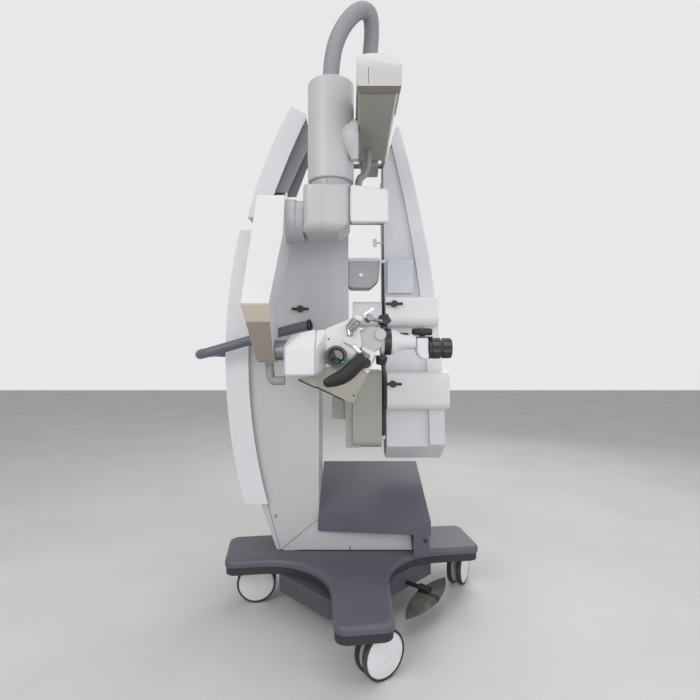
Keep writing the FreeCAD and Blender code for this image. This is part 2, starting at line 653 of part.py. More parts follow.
wide_low = block("InnerWide", (-38, "right_bow_front - 44 + 12", "inner_low"),
                 (60, "lever_pivot_y - right_bow_front + 84 - 12", 232))
small_low = block("InnerSmall", (-92, "right_bow_front", 705), (60, 110, 85))
keep("inner_weights", inner_weight("InnerHigh", "weight_high", "weight_high_top - 20"),
     fuse("InnerLowAll", inner_weight("InnerLow", "inner_low", "weight_low_top"), wide_low, small_low))

shelf = pad("Shelf", "XZ_Plane", [
    ("column_right + gap", 1236), ("62", 1236), ("96", 1266), ("104", 1358), ("column_right + gap", 1358)],
    "110")
rounded(shelf, 14, along("y"))
seat(shelf, 0, "column_front + 190", 0)
keep("side_shelf", shelf)

# T-knobs: a stem, a hub and a cross bar


def t_knob(label, x, face, z):
    """A black T-shaped clamp knob on a front face."""
    stem = rod("Stem", "knob_stem", 22, (x, face, z), "y")
    hub = rod("Hub", "knob_hub_radius", "knob_hub_long", (x, "(" + face + ") - knob_hub_long - gap", z),
              "y")
    neck = rod("Neck", "knob_stem", 2, (x, "(" + face + ") - 1", z), "y")
    bar = rod("Bar", "knob_bar_radius", "knob_bar",
              ("(" + str(x) + ") - knob_bar / 2", "(" + face + ") - knob_hub_long / 2 - 4", z), "x")
    keep("clamp_knob_" + label, fuse("Knob", stem, hub, neck, bar))


t_knob("upper", "152", "right_bow_front - 66", 1164)
t_knob("lower", "147", "right_bow_front - 66", 852)
t_knob("column", "-212", "column_front", 1144)
NODES["column_housing"] = (cut("ColumnBored", NODES["column_housing"][0],
                               knob_bore(-212, "column_front - 4", 1144)),)
NODES["column_housing"][0].Label = "column_housing"

# The level head and its link

head_body = block("HeadBody", ("arm_swivel_x - 37", "lever_pivot_y - 32", "head_z - 38"), (74, 64, 76))
clevis_low = block("ClevisLow", ("arm_swivel_x - 32", "arm_swivel_y - 34",
                                 "tongue_low - gap - clevis_thick"),
                   (64, "lever_pivot_y - 20 - arm_swivel_y + 34", "clevis_thick"))
clevis_top = block("ClevisTop", ("arm_swivel_x - 32", "arm_swivel_y - 34", "tongue_top + gap"),
                   (64, "lever_pivot_y - 20 - arm_swivel_y + 34", "clevis_thick"))
head_bore = rod("HeadBore", "head_shaft_radius + fit", 200,
                ("arm_swivel_x - 100", "lever_pivot_y", "head_z"), "x")
swivel_bore = rod("SwivelBore", "swivel_pin_radius + fit / 2", 120,
                  ("arm_swivel_x", "arm_swivel_y", "head_z - 60"))
ear = rod("Ear", "link_pin_radius", "arm_swivel_x - 37 + 12 - column_right + 10",
          ("column_right - 22", "lever_pivot_y - link_offset", "head_z"), "x")
ear_arm = block("EarArm", ("arm_swivel_x - 45", "lever_pivot_y - link_offset - 9", "head_z - 10"),
                (10, 87, 20))
head_block = cut("HeadCut", fuse("HeadWhole", head_body, clevis_low, clevis_top, ear, ear_arm),
                 head_bore, swivel_bore)
swivel_pin = rod("SwivelPin", "swivel_pin_radius", "tongue_top - tongue_low + 2 * clevis_thick + 6",
                 ("arm_swivel_x", "arm_swivel_y", "tongue_low - clevis_thick - 3"))
keep("level_head", head_block, swivel_pin)
link_y = "lever_pivot_y - link_offset"
link_x = "column_right - 22"
link_bar = block("LinkBar", (link_x, link_y + " - 9", "lever_pivot_z"), (9, 18, "head_z - lever_pivot_z"))
link_low = rod("LinkLow", 14, 9, (link_x, link_y, "lever_pivot_z"), "x")
link_high = rod("LinkHigh", 14, 9, (link_x, link_y, "head_z"), "x")
link_bores = (rod("LinkBore", "link_pin_radius + fit", 30, (link_x + " - 9", link_y, "lever_pivot_z"), "x"),
              rod("LinkSlack", "link_pin_radius + 1.5", 30, (link_x + " - 9", link_y, "head_z"), "x"))
keep("level_link", cut("LinkCut", fuse("LinkWhole", link_bar, link_low, link_high), *link_bores))

# The upper arm: a beam, a cap with a side skirt, a boss and the drum

arm_span = "arm_back - arm_front"
cap_front = pad("ArmCapFront", "XZ_Plane", [
    ("arm_left", "arm_low + 3"), ("arm_left + arm_wide", "arm_low + 3"),
    ("arm_left + arm_wide", "arm_top - 48"), ("arm_left + arm_wide - 26", "arm_top - 12"),
    ("arm_left + 50", "arm_top", "arc"), ("arm_left", "arm_top - 14")], arm_span)
rounded(cap_front, 4, along("y"))
seat(cap_front, 0, "arm_back", 0)
cap_side = pad("ArmCapSide", "YZ_Plane", [
    ("arm_front", "arm_low + 3"), ("arm_front", "nose_top"), ("arm_front + nose_slope", "arm_top + 1"),
    ("arm_back", "arm_top + 1"), ("arm_back", "arm_low + 46"), ("arm_front + nose_deep", "arm_low + 46"),
    ("arm_front + nose_deep", "arm_low + 3")], "arm_wide + 20")
seat(cap_side, "arm_left - 10", 0, 0)
cap_crossed = doc.addObject("Part::Common", "ArmCapCrossed")
cap_crossed.Base = cap_front
cap_crossed.Tool = cap_side
hose_collar = rod("HoseCollar", "hose_radius + 6", "24", ("drum_x + 137", "drum_y + 140", "arm_top - 18"))
skirt = block("ArmSkirt", ("arm_left + arm_wide - 4", "arm_front", "arm_low + 12"), (4, 194, 50))
keep("arm_cap", fuse("CapWhole", cap_crossed, skirt, hose_collar))
beam = pad("ArmBeam", "XZ_Plane", [
    ("arm_left + 5", "arm_low + 46 - gap"), ("arm_left + 5", "arm_low + 8"), ("arm_left + 13", "arm_low"),
    ("arm_left + arm_wide - 13", "arm_low"), ("arm_left + arm_wide - 5", "arm_low + 8"),
    ("arm_left + arm_wide - 5", "arm_low + 46 - gap")], arm_span + " - nose_deep - gap")
seat(beam, 0, "arm_back", 0)
tongue_bar = block("TongueBar", ("arm_swivel_x - tongue_half + 6", "arm_back - 40", "tongue_low"),
                   ("2 * tongue_half - 12", "arm_swivel_y - arm_back + 40",
                    "arm_low + 46 - gap - tongue_low"))
tongue_eye = rod("TongueEye", "tongue_half - 6", "tongue_top - tongue_low",
                 ("arm_swivel_x", "arm_swivel_y", "tongue_low"))
tongue_bore = rod("TongueBore", "swivel_pin_radius + fit", 100,
                  ("arm_swivel_x", "arm_swivel_y", "tongue_low - 20"))
cheek = pad("Cheek", "YZ_Plane", [
    ("drum_y - 62", "arm_low + 20"), ("drum_y + 62", "arm_low + 20"), ("drum_y + 40", "boss_z - 62"),
    ("drum_y - 40", "boss_z - 62")], 14)
seat(cheek, "arm_left", 0, 0)
keep("arm_beam", cut("BeamCut", fuse("BeamWhole", beam, tongue_bar, tongue_eye, cheek), tongue_bore))

boss = turned("Boss", [("0", 0), ("boss_radius", 0), ("boss_radius - 3", 14), ("boss_radius - 14", 34),
                       ("boss_radius - 32", 48), ("0", 52)])
seat(boss, "arm_left - gap", "drum_y", "boss_z", (0, 1, 0), "-90")
drum_room = rod("DrumRoom", "drum_radius + gap", 600, ("drum_x", "drum_y", "drum_low - 100"))
boss = cut("BossCut", boss, drum_room)

drum = turned("Drum", [("spindle_radius + fit", 0), ("drum_radius", 0),
                       ("drum_radius", "drum_top - drum_low"),
                       ("0", "drum_top - drum_low"), ("0", "drum_top - drum_low - drum_roof"),
                       ("spindle_radius + fit", "drum_top - drum_low - drum_roof")])
rounded(drum, "drum_round",
        lambda edge: edge.Closed and abs(edge.BoundBox.XLength - 2 * size("drum_radius")) < 0.1)
seat(drum, "drum_x", "drum_y", "drum_low")
keep("swivel_drum", drum, boss)

# The joint housing under the drum and the hub of the swing arm

spindle = rod("Spindle", "spindle_radius", "drum_top - drum_low - drum_roof - spindle_room + spindle_foot",
              ("drum_x", "drum_y", "drum_low - spindle_foot"))
neck = cut("NeckCut", rod("Neck", "neck_radius", "drum_low - joint_top - 2 * gap",
                                     ("drum_x", "drum_y", "joint_top + gap")),
                      rod("NeckBore", "spindle_radius + fit", 80, ("drum_x", "drum_y", "drum_low - 60")))
keep("drum_spindle", spindle, neck)


def joint_shell(name, corners, picks):
    """One moulded part of the joint housing: a front outline crossed with the rounded side outline."""
    piece = pad(name, "XZ_Plane", corners, "2 * joint_radius")
    rounded(piece, 36, picks)
    seat(piece, 0, "drum_y + joint_radius", 0)
    side = pad(name + "Side", "YZ_Plane", [
        ("drum_y - joint_radius", "joint_low"), ("drum_y + joint_radius", "joint_low"),
        ("drum_y + joint_radius", "joint_top"), ("drum_y - joint_radius", "joint_top")],
        "cap_left - joint_left + 40")
    rounded(side, "joint_round_low", lambda edge: along("x")(edge) and edge.Vertexes[0].Z < size("joint_z"))
    rounded(side, "joint_round_top", lambda edge: along("x")(edge) and edge.Vertexes[0].Z > size("joint_z"))
    seat(side, "joint_left - 20", 0, 0)
    crossed = doc.addObject("Part::Common", name + "Crossed")
    crossed.Base = piece
    crossed.Tool = side
    return crossed


joint_top = "joint_top"
joint_low = "joint_low"
left_edge = size("joint_left")
left_shell = joint_shell("JointLeft", [
    ("joint_left", joint_low + " + 12"), ("joint_left + 12", joint_low), ("joint_seam - gap", joint_low),
    ("joint_seam - gap", joint_top), ("joint_left + 12", joint_top), ("joint_left", joint_top + " - 12")],
    lambda edge: along("z")(edge) and abs(edge.Vertexes[0].X - left_edge) < 0.01)
shaft_hole = rod("TiltBore", "tilt_shaft_radius + fit", 160, ("joint_left - 20", "drum_y", "joint_z - 18"),
                 "x")
spindle_hole = rod("SpindleSeat", "spindle_radius + fit / 2", 60, ("drum_x", "drum_y", "drum_low - 16"))
left_shell = cut("JointLeftCut", left_shell, shaft_hole, spindle_hole)
right_edge = size("cap_left")
main_shell = joint_shell("JointMain", [
    ("joint_seam", joint_low), ("cap_left - 44", joint_low), ("cap_left - gap", "cap_low - 6"),
    ("cap_left - gap", joint_top + " - 2"), ("joint_seam", joint_top)],
    lambda edge: along("z")(edge) and edge.Length < 200 and abs(edge.Vertexes[0].X - right_edge) < 1)
keep("joint_shells", cut("JointMainCut", main_shell, shaft_hole, spindle_hole), left_shell)
end_cap = pad("EndCap", "XZ_Plane", [
    ("cap_left", "cap_low"), ("cap_right", "cap_low + 6"), ("cap_right", "cap_top"),
    ("cap_left", joint_top + " - 2")], "2 * joint_radius - 16")
rounded(end_cap, 9, lambda edge: along("y")(edge) and edge.Vertexes[0].X > size("cap_left + 5"))
rounded(end_cap, 22, lambda edge: edge.BoundBox.YLength < 0.01 and edge.BoundBox.XLength > 80)
seat(end_cap, 0, "drum_y + joint_radius - 8", 0)
keep("joint_end_cap", end_cap)

hub = turned("Hub", [("tilt_shaft_radius + fit / 2", 0), ("hub_radius", 0), ("hub_radius", 30),
                     ("hub_radius - 5", 36), ("hub_radius - 5", "joint_left - hub_left - hub_gap"),
                     ("tilt_shaft_radius + fit / 2", "joint_left - hub_left - hub_gap")])
seat(hub, "hub_left", "drum_y", "joint_z - 18", (0, 1, 0), "90")
tilt_shaft = rod("TiltShaft", "tilt_shaft_radius", 130, ("hub_left + gap", "drum_y", "joint_z - 18"), "x")
keep("swing_hub", hub, tilt_shaft)

# The swing arm: its front outline crossed with its side outline

side = pad("SwingSide", "YZ_Plane", [
    ("drum_y + 76", "joint_z + 48"), ("drum_y - 78", "joint_z + 56"), ("elbow_y", "elbow_z"),
    ("wrist_y - 46", "wrist_z - 40"), ("wrist_y + 42", "wrist_z - 40"), ("wrist_y + 64", "wrist_z + 100"),
    ("drum_y + 76", "joint_z - 90")], "swing_low_right + 160 - swing_low_left")
rounded(side, 16, along("x"))
seat(side, "swing_low_left - 60", 0, 0)
front = pad("SwingFront", "XZ_Plane", [
    ("swing_top_left", "joint_z + 70"), ("hub_left - gap", "joint_z + 70"),
    ("hub_left - gap", "joint_z - 90"),
    ("swing_low_right", "elbow_z"), ("swing_low_right + 4", "wrist_z - 60"),
    ("swing_low_left + 42", "wrist_z - 60"), ("swing_low_left", "elbow_z")], 420)
seat(front, 0, "drum_y + 160", 0)
crossed = doc.addObject("Part::Common", "SwingCrossed")
crossed.Base = side
crossed.Tool = front
wrist_bore = rod("WristBore", "wrist_pin_radius + fit", 160, ("swing_low_left + 58", "wrist_y", "wrist_z"),
                 "x")
keep("swing_arm_shell", cut("SwingBored", crossed, wrist_bore))
wrist_pin = rod("WristPin", "wrist_pin_radius", "drive_left - swing_low_left - 62 + 24",
                      ("swing_low_left + 62", "wrist_y", "wrist_z"), "x")
wrist_disc = rod("WristDisc", "wrist_radius - 6", "drive_left - swing_low_right - 4 - 2 * gap - 0.4",
                 ("swing_low_right + 4 + gap + 0.4", "wrist_y", "wrist_z"), "x")
spacer_bore = rod("SpacerBore", "wrist_pin_radius + fit / 2", 120,
                  ("swing_low_right - 20", "wrist_y", "wrist_z"), "x")
keep("wrist_pin", wrist_pin, cut("WristSpacer", wrist_disc, spacer_bore))

# The drive housing and the optics it tilts

drive = pad("Drive", "YZ_Plane", [
    ("drive_front", "drive_low"), ("drive_front", "drive_top"), ("drive_front + 30", "drive_top + 8"),
    ("drive_back", "drive_back_top"), ("drive_back", "drive_low + 30"), ("drive_back - 30", "drive_low")],
    "drive_right - drive_left")
rounded(drive, "drive_round", along("x"))
rounded(drive, 8, lambda edge: edge.BoundBox.XLength < 0.01 and edge.BoundBox.YMax < size("drive_front + 40"))
seat(drive, "drive_left", 0, 0)
pin_seat = rod("PinSeat", "wrist_pin_radius + fit / 2", 25, ("drive_left - 1", "wrist_y", "wrist_z"), "x")
output_bore = rod("OutputBore", "output_radius + fit", 60,
                  ("drive_right - 40", "output_y", "drive_low + output_rise"), "x")
gland = rod("HoseGland", 19, 30, ("drive_left - 12", -388, "wrist_z - 100"), "x")
gland_web = block("GlandWeb", ("drive_left + 2", -402, "wrist_z - 100"), (14, 28, 30))
keep("drive_housing", cut("DriveCut", fuse("DriveAndGland", drive, gland, gland_web), pin_seat,
                          output_bore))

plate_corners = [("drive_right + 3", 866), ("-39", 826), (-10, 819), ("plate_right_x", "plate_right_z"),
                 ("plate_shoulder_x", "plate_shoulder_z"),
                 ("plate_top_x", "plate_top_z"), ("drive_right + 3", 1036)]
body_block = in_front("ScopeBody", plate_corners, "scope_front + plate_thick + gap", "scope_deep")
rounded(body_block, 8, along("y"))
output_seat = rod("OutputSeat", "output_radius + fit / 2", 60,
                  ("drive_right - 10", "output_y", "drive_low + output_rise"), "x")
tube_seat = rod("TubeSeat", "lens_radius + fit", 46, ("lens_x", "scope_front - 20", "lens_z"), "y")
grip_seat = rod("GripSeat", 9 + 0.05, 40, (13, "scope_front - 12", 968), "y")
body_cut = cut("ScopeBodyCut", body_block, output_seat, tube_seat, grip_seat)
plate = in_front("ScopePlate", plate_corners, "scope_front", "plate_thick")
keep("scope_side_plate", cut("PlateCut", plate, tube_seat, grip_seat))
output_shaft = rod("OutputShaft", "output_radius", 70,
                   ("drive_right - 38", "output_y", "drive_low + output_rise"), "x")
keep("scope_body", body_cut, output_shaft)

optics = in_front("Optics", [
    ("plate_right_x + 1.5 * gap", "plate_right_z"), ("ring_left", "plate_right_z"), ("ring_left", 1066),
    ("ring_left - 14", 1080), ("plate_top_x + 6", 1082), ("plate_top_x + gap", "plate_top_z + 1.2 * gap"),
    ("plate_shoulder_x + 1.5 * gap", "plate_shoulder_z + gap")], "scope_front + 4", 96)
rounded(optics, 7, lambda edge: along("y")(edge) and edge.Vertexes[0].X > size("plate_right_x + 5"))
ring_bore = rod("RingBore", 20.05, 40, ("ring_left - 24", "scope_front + 48", "tube_z"), "x")
keep("optics_head", cut("OpticsCut", optics, ring_bore))

# The observer tube, its eyepiece and the knobs


def hollow_rod(name, radius, bore, length, start, axis):
    """A round tube along an axis."""
    return cut(name, rod(name + "Outer", radius, length, start, axis),
               rod(name + "Inner", bore, length, start, axis))


tube_y = "scope_front + 48"
ring = rod("Ring", "ring_radius", "ring_wide - 2 * gap", ("ring_left + gap", tube_y, "tube_z"), "x")
ring_stem = rod("RingStem", 20, 24, ("ring_left - 23", tube_y, "tube_z"), "x")
ring_socket = rod("RingSocket", 18 + 0.05, 30, ("ring_left + ring_wide - 16", tube_y, "tube_z"), "x")
keep("clamp_ring", cut("RingCut", fuse("RingWhole", ring, ring_stem), ring_socket))
tube_left = "ring_left + ring_wide"
barrel = rod("Barrel", "tube_radius", "tube_long - gap", (tube_left, tube_y, "tube_z"), "x")
spigot = rod("Spigot", 18, 16, (tube_left + " - 15", tube_y, "tube_z"), "x")
head_socket = rod("HeadSocket", "11.5 + fit", 30, (tube_left + " + tube_long - 16", tube_y, "tube_z"), "x")
button = rod("TubeButton", 6, 2.5, (tube_left + " + 34", tube_y, "tube_z + tube_radius - 2"))
keep("observer_tube", cut("BarrelCut", fuse("BarrelWhole", barrel, spigot, button), head_socket))
ocular_left = tube_left + " + tube_long"
head_block = pad("OcularHead", "XZ_Plane", [
    (ocular_left, "ocular_z - 36"), (ocular_left + " + ocular_wide", "ocular_z - 36"),
    (ocular_left + " + ocular_wide", "tube_z + 27"), (ocular_left, "tube_z + 27")], 64)
rounded(head_block, 9, along("y"))
seat(head_block, 0, tube_y + " + 32", 0)
head_tab = rod("HeadTab", 11.5, 16, (ocular_left + " - 13", tube_y, "tube_z"), "x")
eye_bore = rod("EyeBore", 16.05, 30, (ocular_left + " + ocular_wide - 20", tube_y, "ocular_z"), "x")
knob_hole = rod("DiscKnobHole", 5.05, 30, (ocular_left + " + 20", tube_y, "tube_z"))
keep("ocular_head", cut("OcularCut", fuse("OcularWhole", head_block, head_tab), eye_bore, knob_hole))
eye_left = ocular_left + " + ocular_wide"
eyepiece = turned("Eyepiece", [
    ("9", -18), ("16", -18), ("16", "gap"), ("eyepiece_radius - 3", "gap"), ("eyepiece_radius", 6),
    ("eyepiece_radius", "eyepiece_long - 12"), ("eyepiece_radius - 4", "eyepiece_long"),
    ("eyecup_radius", "eyepiece_long + 8"), ("eyecup_radius - 2", "eyepiece_long + eyecup_long"),
    ("eyecup_radius - 6", "eyepiece_long + eyecup_long"), ("13", "eyepiece_long + 4"),
    ("9", "eyepiece_long - 6")])
seat(eyepiece, eye_left, tube_y, "ocular_z", (0, 1, 0), "90")
keep("eyepiece", eyepiece)
disc_knob = turned("DiscKnob", [("0", -20), ("5", -20), ("5", "gap"), ("disc_knob_radius - 5", "gap"),
                                ("disc_knob_radius", 5), ("disc_knob_radius", "disc_knob_high - 4"),
                                ("disc_knob_radius - 4", "disc_knob_high"), ("0", "disc_knob_high")])
seat(disc_knob, ocular_left + " + 20", tube_y, "tube_z + 27")
keep("disc_knob", disc_knob)


def side_knob(label, x, z, radius, face):
    """A knob on the optics' front with its stem in a bore."""
    knob = turned("SideKnob", [("0", -18), ("6", -18), ("6", "gap"), (radius, "gap"), (radius, 16),
                               (radius + " - 3", 20), ("0", 20)])
    seat(knob, x, face, z, (1, 0, 0), "90")
    keep(label, knob)


side_knob("focus_knob", "76", 1036, "19", "scope_front + 4")
side_knob("zoom_knob", "30", 946, "16", "scope_front")
for node, x, z, radius in (("optics_head", 76, 1036, 6), ("scope_body", 30, 946, 6),
                           ("scope_side_plate", 30, 946, 6),
                           ("scope_body", -8, 996, 5), ("scope_side_plate", -8, 996, 5)):
    seat_bore = rod("KnobSeatBore", str(radius) + " + fit", 40, (x, "scope_front - 12", z), "y")
    bored = cut("KnobSeat", NODES[node][0], seat_bore)
    keep(node, bored, *NODES[node][1:])

lens_tube = hollow_rod("LensTube", "lens_radius", "glass_radius + 0.2", "lens_long + 24",
                       ("lens_x", "scope_front - lens_long", "lens_z"), "y")
keep("lens_tube", lens_tube)
glass = turned("Glass", [("0", 0), ("glass_radius", 1), ("glass_radius", 5), ("0", 8)])
seat(glass, "lens_x", "scope_front - 14", "lens_z", (1, 0, 0), "90")
keep("front_lens", glass)

grip_y = "scope_front - lens_long - grip_out"
grip_front = size(grip_y)
grip = tube("GripBar", [(-98, grip_front, 886), (-66, grip_front, 896), (-32, grip_front, 920),
                        (-6, grip_front, 950),
                        (12, grip_front, 968)], size("grip_radius"))
grip_stem = rod("GripStem", 9, "lens_long + grip_out + 14", (13, grip_y, 968), "y")
grip_ball = doc.addObject("Part::Sphere", "GripBall")
grip_ball.setExpression("Radius", bound("grip_radius + 1"))
seat(grip_ball, 13, grip_y, 968)
keep("handgrip", fuse("GripWhole", grip, grip_ball, grip_stem))

link_front = size("scope_front - 16")
chrome = tube("ChromeArm", [(-30, link_front, 1092), (-10, link_front, 1066), (-34, link_front, 1016),
                            (-8, link_front, 996)], 9, 14)
chrome_pin = rod("ChromePin", 5, 40, (-8, "scope_front - 16", 996), "y")
keep("chrome_lever", fuse("ChromeWhole", chrome, chrome_pin))

# The push handle, the hoses and the hanging lead

column_face = size("column_front")
column_rear = size("column_front + column_deep")
handle_x = size("handle_x")
handle_z = size("handle_z")
handle_route = [(handle_x, column_face + 20, handle_z), (handle_x, column_face - 74, handle_z),
                (-374, column_face - 86, 1026),
                (-585, column_face - 78, 966), (-606, column_face + 40, 972), (-606, column_rear - 40, 972),
                (-585, column_rear + 78, 966), (-374, column_rear + 86, 1026),
                (handle_x, column_rear + 74, handle_z), (handle_x, column_rear - 20, handle_z)]
keep("push_handle", tube("PushHandle", handle_route, size("handle_tube_radius"), 60))
drum_x = size("drum_x")
drum_y = size("drum_y")
drum_top = size("drum_top")
hose_end = size("arm_top + 6")
keep("hose_loop", tube("HoseLoop", [
    (drum_x, drum_y, drum_top + 0.3), (drum_x, drum_y, drum_top + 89),
    (drum_x + 30, drum_y + 10, drum_top + 200),
    (drum_x + 92, drum_y + 40, drum_top + 296), (drum_x + 140, drum_y + 72, drum_top + 313),
    (drum_x + 150, drum_y + 118, drum_top + 270), (drum_x + 142, drum_y + 138, drum_top + 180),
    (drum_x + 137, drum_y + 140, drum_top + 79), (drum_x + 137, drum_y + 140, hose_end + 0.3)],
    size("hose_radius")))
arm_low = size("arm_low")
joint_top_z = size("joint_top")
keep("feed_hose", tube("FeedHose", [
    (48, drum_y + 110, arm_low - 0.5), (48, drum_y + 110, arm_low - 50), (34, drum_y + 84, arm_low - 100),
    (8, drum_y + 40, arm_low - 130), (8, drum_y + 40, joint_top_z + 4)], 13))
wrist_low = size("wrist_z - 40")
drive_face = size("drive_left")
keep("wrist_hose", tube("WristHose", [
    (-290, -372, wrist_low - 0.5), (-290, -372, wrist_low - 36), (-280, -380, wrist_low - 62),
    (drive_face - 36, -388, wrist_low - 60), (drive_face - 13, -388, wrist_low - 60)], 15))
lead_x = size("right_bow_left - 2")
lead_y = size("right_bow_front - 6")
keep("hanging_lead", tube("HangingLead", [
    (lead_x, lead_y, 1333.7), (lead_x, lead_y + 0.6, 1250), (lead_x + 0.5, lead_y, 1160),
    (lead_x, lead_y - 0.6, 1070),
    (lead_x - 0.5, lead_y, 980), (lead_x, lead_y + 0.6, 890), (lead_x + 0.5, lead_y, 800),
    (lead_x, lead_y - 0.5, 720),
    (lead_x, lead_y, 638.3)], size("lead_radius")))

# The brake pedal and its bracket

pedal = pad("Pedal", "XY_Plane", [
    ("8 - pedal_half", "18 - pedal_long"), ("0", "-pedal_long"), ("pedal_half - 8", "18 - pedal_long"),
    ("pedal_half", "0"), ("pedal_half - 8", "pedal_long - 18"), ("0", "pedal_long"),
    ("8 - pedal_half", "pedal_long - 18"), ("-pedal_half", "0")], "pedal_thick")
rounded(pedal, 4, level("z", size("pedal_thick")))
seat(pedal, 0, 0, "pedal_z - 38")
saddle = block("Saddle", (-12, -15, "pedal_z - 38 + 2"), (24, 30, "38"))
hub = rod("PedalHub", 15, 40, (-20, 0, "pedal_z"), "x")
shaft = rod("PedalShaft", "pedal_shaft", "pedal_reach + pedal_deep",
            ("-pedal_reach - pedal_deep", 0, "pedal_z"), "x")
pedal_place = FreeCAD.Placement(V(size("pedal_x"), size("pedal_y"), 0),
                                FreeCAD.Rotation(V(0, 0, 1), size("pedal_turn")))
whole_pedal = fuse("PedalWhole", pedal, saddle, hub, shaft)
whole_pedal.Placement = pedal_place
keep("brake_pedal", whole_pedal)
socket_rod = rod("SocketRod", "pedal_shaft + fit", "pedal_deep + 32",
                 ("-pedal_reach - pedal_deep - 2", 0, "pedal_z"), "x")
socket = doc.addObject("Part::Compound", "PedalSocket")
socket.Links = [socket_rod]
socket.Placement = pedal_place
keep("base_chassis", cut("ChassisBored", NODES["base_chassis"][0], socket))


def write_pieces():
    """Tests every object, then writes one STEP file for each named piece.

    The drawing counts from the middle of the base. The files count from the
    middle of the whole machine's outline, which row_x and row_y give.
    """
    doc.recompute()
    for item in doc.Objects:
        if "Invalid" in item.State or "Error" in item.State:
            raise RuntimeError(item.Name + " failed: " + str(item.State))
    os.makedirs("parts", exist_ok=True)
    for node, pieces in NODES.items():
        shapes = [piece.Shape for piece in pieces]
        for shape in shapes:
            if shape.isNull() or not shape.isValid():
                raise RuntimeError(node + " has no valid shape")
        whole = shapes[0].copy() if len(shapes) == 1 else Part.makeCompound(shapes)
        whole.translate(V(size("row_x"), size("row_y"), 0))
        whole.exportStep("parts/" + node + ".step")
        print(node, len(whole.Solids), round(whole.Volume))


write_pieces()
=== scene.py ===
"""A surgical microscope on its floor stand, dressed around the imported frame."""
import json
import math

import bmesh
import bpy
from mathutils import Matrix, Vector


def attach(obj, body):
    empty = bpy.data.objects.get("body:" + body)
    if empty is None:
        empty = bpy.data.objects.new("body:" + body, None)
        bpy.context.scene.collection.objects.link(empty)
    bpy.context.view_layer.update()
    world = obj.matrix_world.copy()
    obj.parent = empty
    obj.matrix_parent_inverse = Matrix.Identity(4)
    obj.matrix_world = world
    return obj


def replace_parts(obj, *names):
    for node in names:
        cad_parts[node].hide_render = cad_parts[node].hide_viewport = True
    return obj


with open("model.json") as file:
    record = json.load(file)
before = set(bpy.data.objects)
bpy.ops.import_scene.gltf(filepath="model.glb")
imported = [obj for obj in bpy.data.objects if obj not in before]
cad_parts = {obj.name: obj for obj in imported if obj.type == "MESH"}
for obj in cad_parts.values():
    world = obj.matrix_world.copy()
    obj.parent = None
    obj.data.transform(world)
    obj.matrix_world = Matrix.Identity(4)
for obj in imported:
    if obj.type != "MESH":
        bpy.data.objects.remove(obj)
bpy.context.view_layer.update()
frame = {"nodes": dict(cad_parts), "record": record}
MM = 0.001
V = Vector

# The lengths below count from the middle of the base, the frame from the middle of the whole outline
ROW = V((62.19, 31.8, 0))
bpy.context.scene.view_settings.view_transform = "Standard"


# Colours as they are seen in the photo, turned to linear values

def tone(code):
    """A linear colour from a six-digit hex code."""
    values = []
    for start in (0, 2, 4):
        part = int(code[start:start + 2], 16) / 255
        values.append(part / 12.92 if part <= 0.04045 else ((part + 0.055) / 1.055) ** 2.4)
    return (*values, 1.0)


def shade(colour, factor):
    """The colour made lighter or darker."""
    return (*[min(1.0, max(0.0, part * factor)) for part in colour[:3]], 1.0)


class Nodes:
    """Short calls for building one material's node tree."""

    def __init__(self, name):
        self.material = bpy.data.materials.new(name)
        self.material.use_nodes = True
        self.tree = self.material.node_tree
        self.shader = self.tree.nodes["Principled BSDF"]
        self.place = self.tree.nodes.new("ShaderNodeTexCoord").outputs["Object"]

    def add(self, kind, **values):
        node = self.tree.nodes.new(kind)
        for key, value in values.items():
            setattr(node, key, value)
        return node

    def join(self, start, end):
        self.tree.links.new(start, end)

    def stretched(self, scale):
        mapping = self.add("ShaderNodeMapping")
        mapping.inputs["Scale"].default_value = scale
        self.join(self.place, mapping.inputs["Vector"])
        return mapping.outputs["Vector"]

    def noise(self, scale, detail=3.0, rough=0.55, vector=None):
        node = self.add("ShaderNodeTexNoise")
        node.inputs["Scale"].default_value = scale
        node.inputs["Detail"].default_value = detail
        node.inputs["Roughness"].default_value = rough
        self.join(vector or self.place, node.inputs["Vector"])
        return node.outputs["Fac"]

    def ramp(self, value, stops):
        node = self.add("ShaderNodeValToRGB")
        points = node.color_ramp.elements
        while len(points) < len(stops):
            points.new(0.5)
        for point, (spot, colour) in zip(points, stops):
            point.position = spot
            point.color = colour
        self.join(value, node.inputs["Fac"])
        return node.outputs["Color"]

    def spread(self, value, low, high):
        node = self.add("ShaderNodeMapRange")
        node.inputs["To Min"].default_value = low
        node.inputs["To Max"].default_value = high
        self.join(value, node.inputs["Value"])
        return node.outputs["Result"]

    def mixed(self, factor, first, second):
        node = self.add("ShaderNodeMix", data_type="RGBA")
        self.join(factor, node.inputs["Factor"])
        for spot, value in (("A", first), ("B", second)):
            socket = [item for item in node.inputs if item.name == spot and item.type == "RGBA"][0]
            if isinstance(value, tuple):
                socket.default_value = value
            else:
                self.join(value, socket)
        return [item for item in node.outputs if item.type == "RGBA"][0]

    def bump(self, height, strength, distance, before=None):
        node = self.add("ShaderNodeBump")
        node.inputs["Strength"].default_value = strength
        node.inputs["Distance"].default_value = distance
        self.join(height, node.inputs["Height"])
        if before is not None:
            self.join(before, node.inputs["Normal"])
        return node.outputs["Normal"]


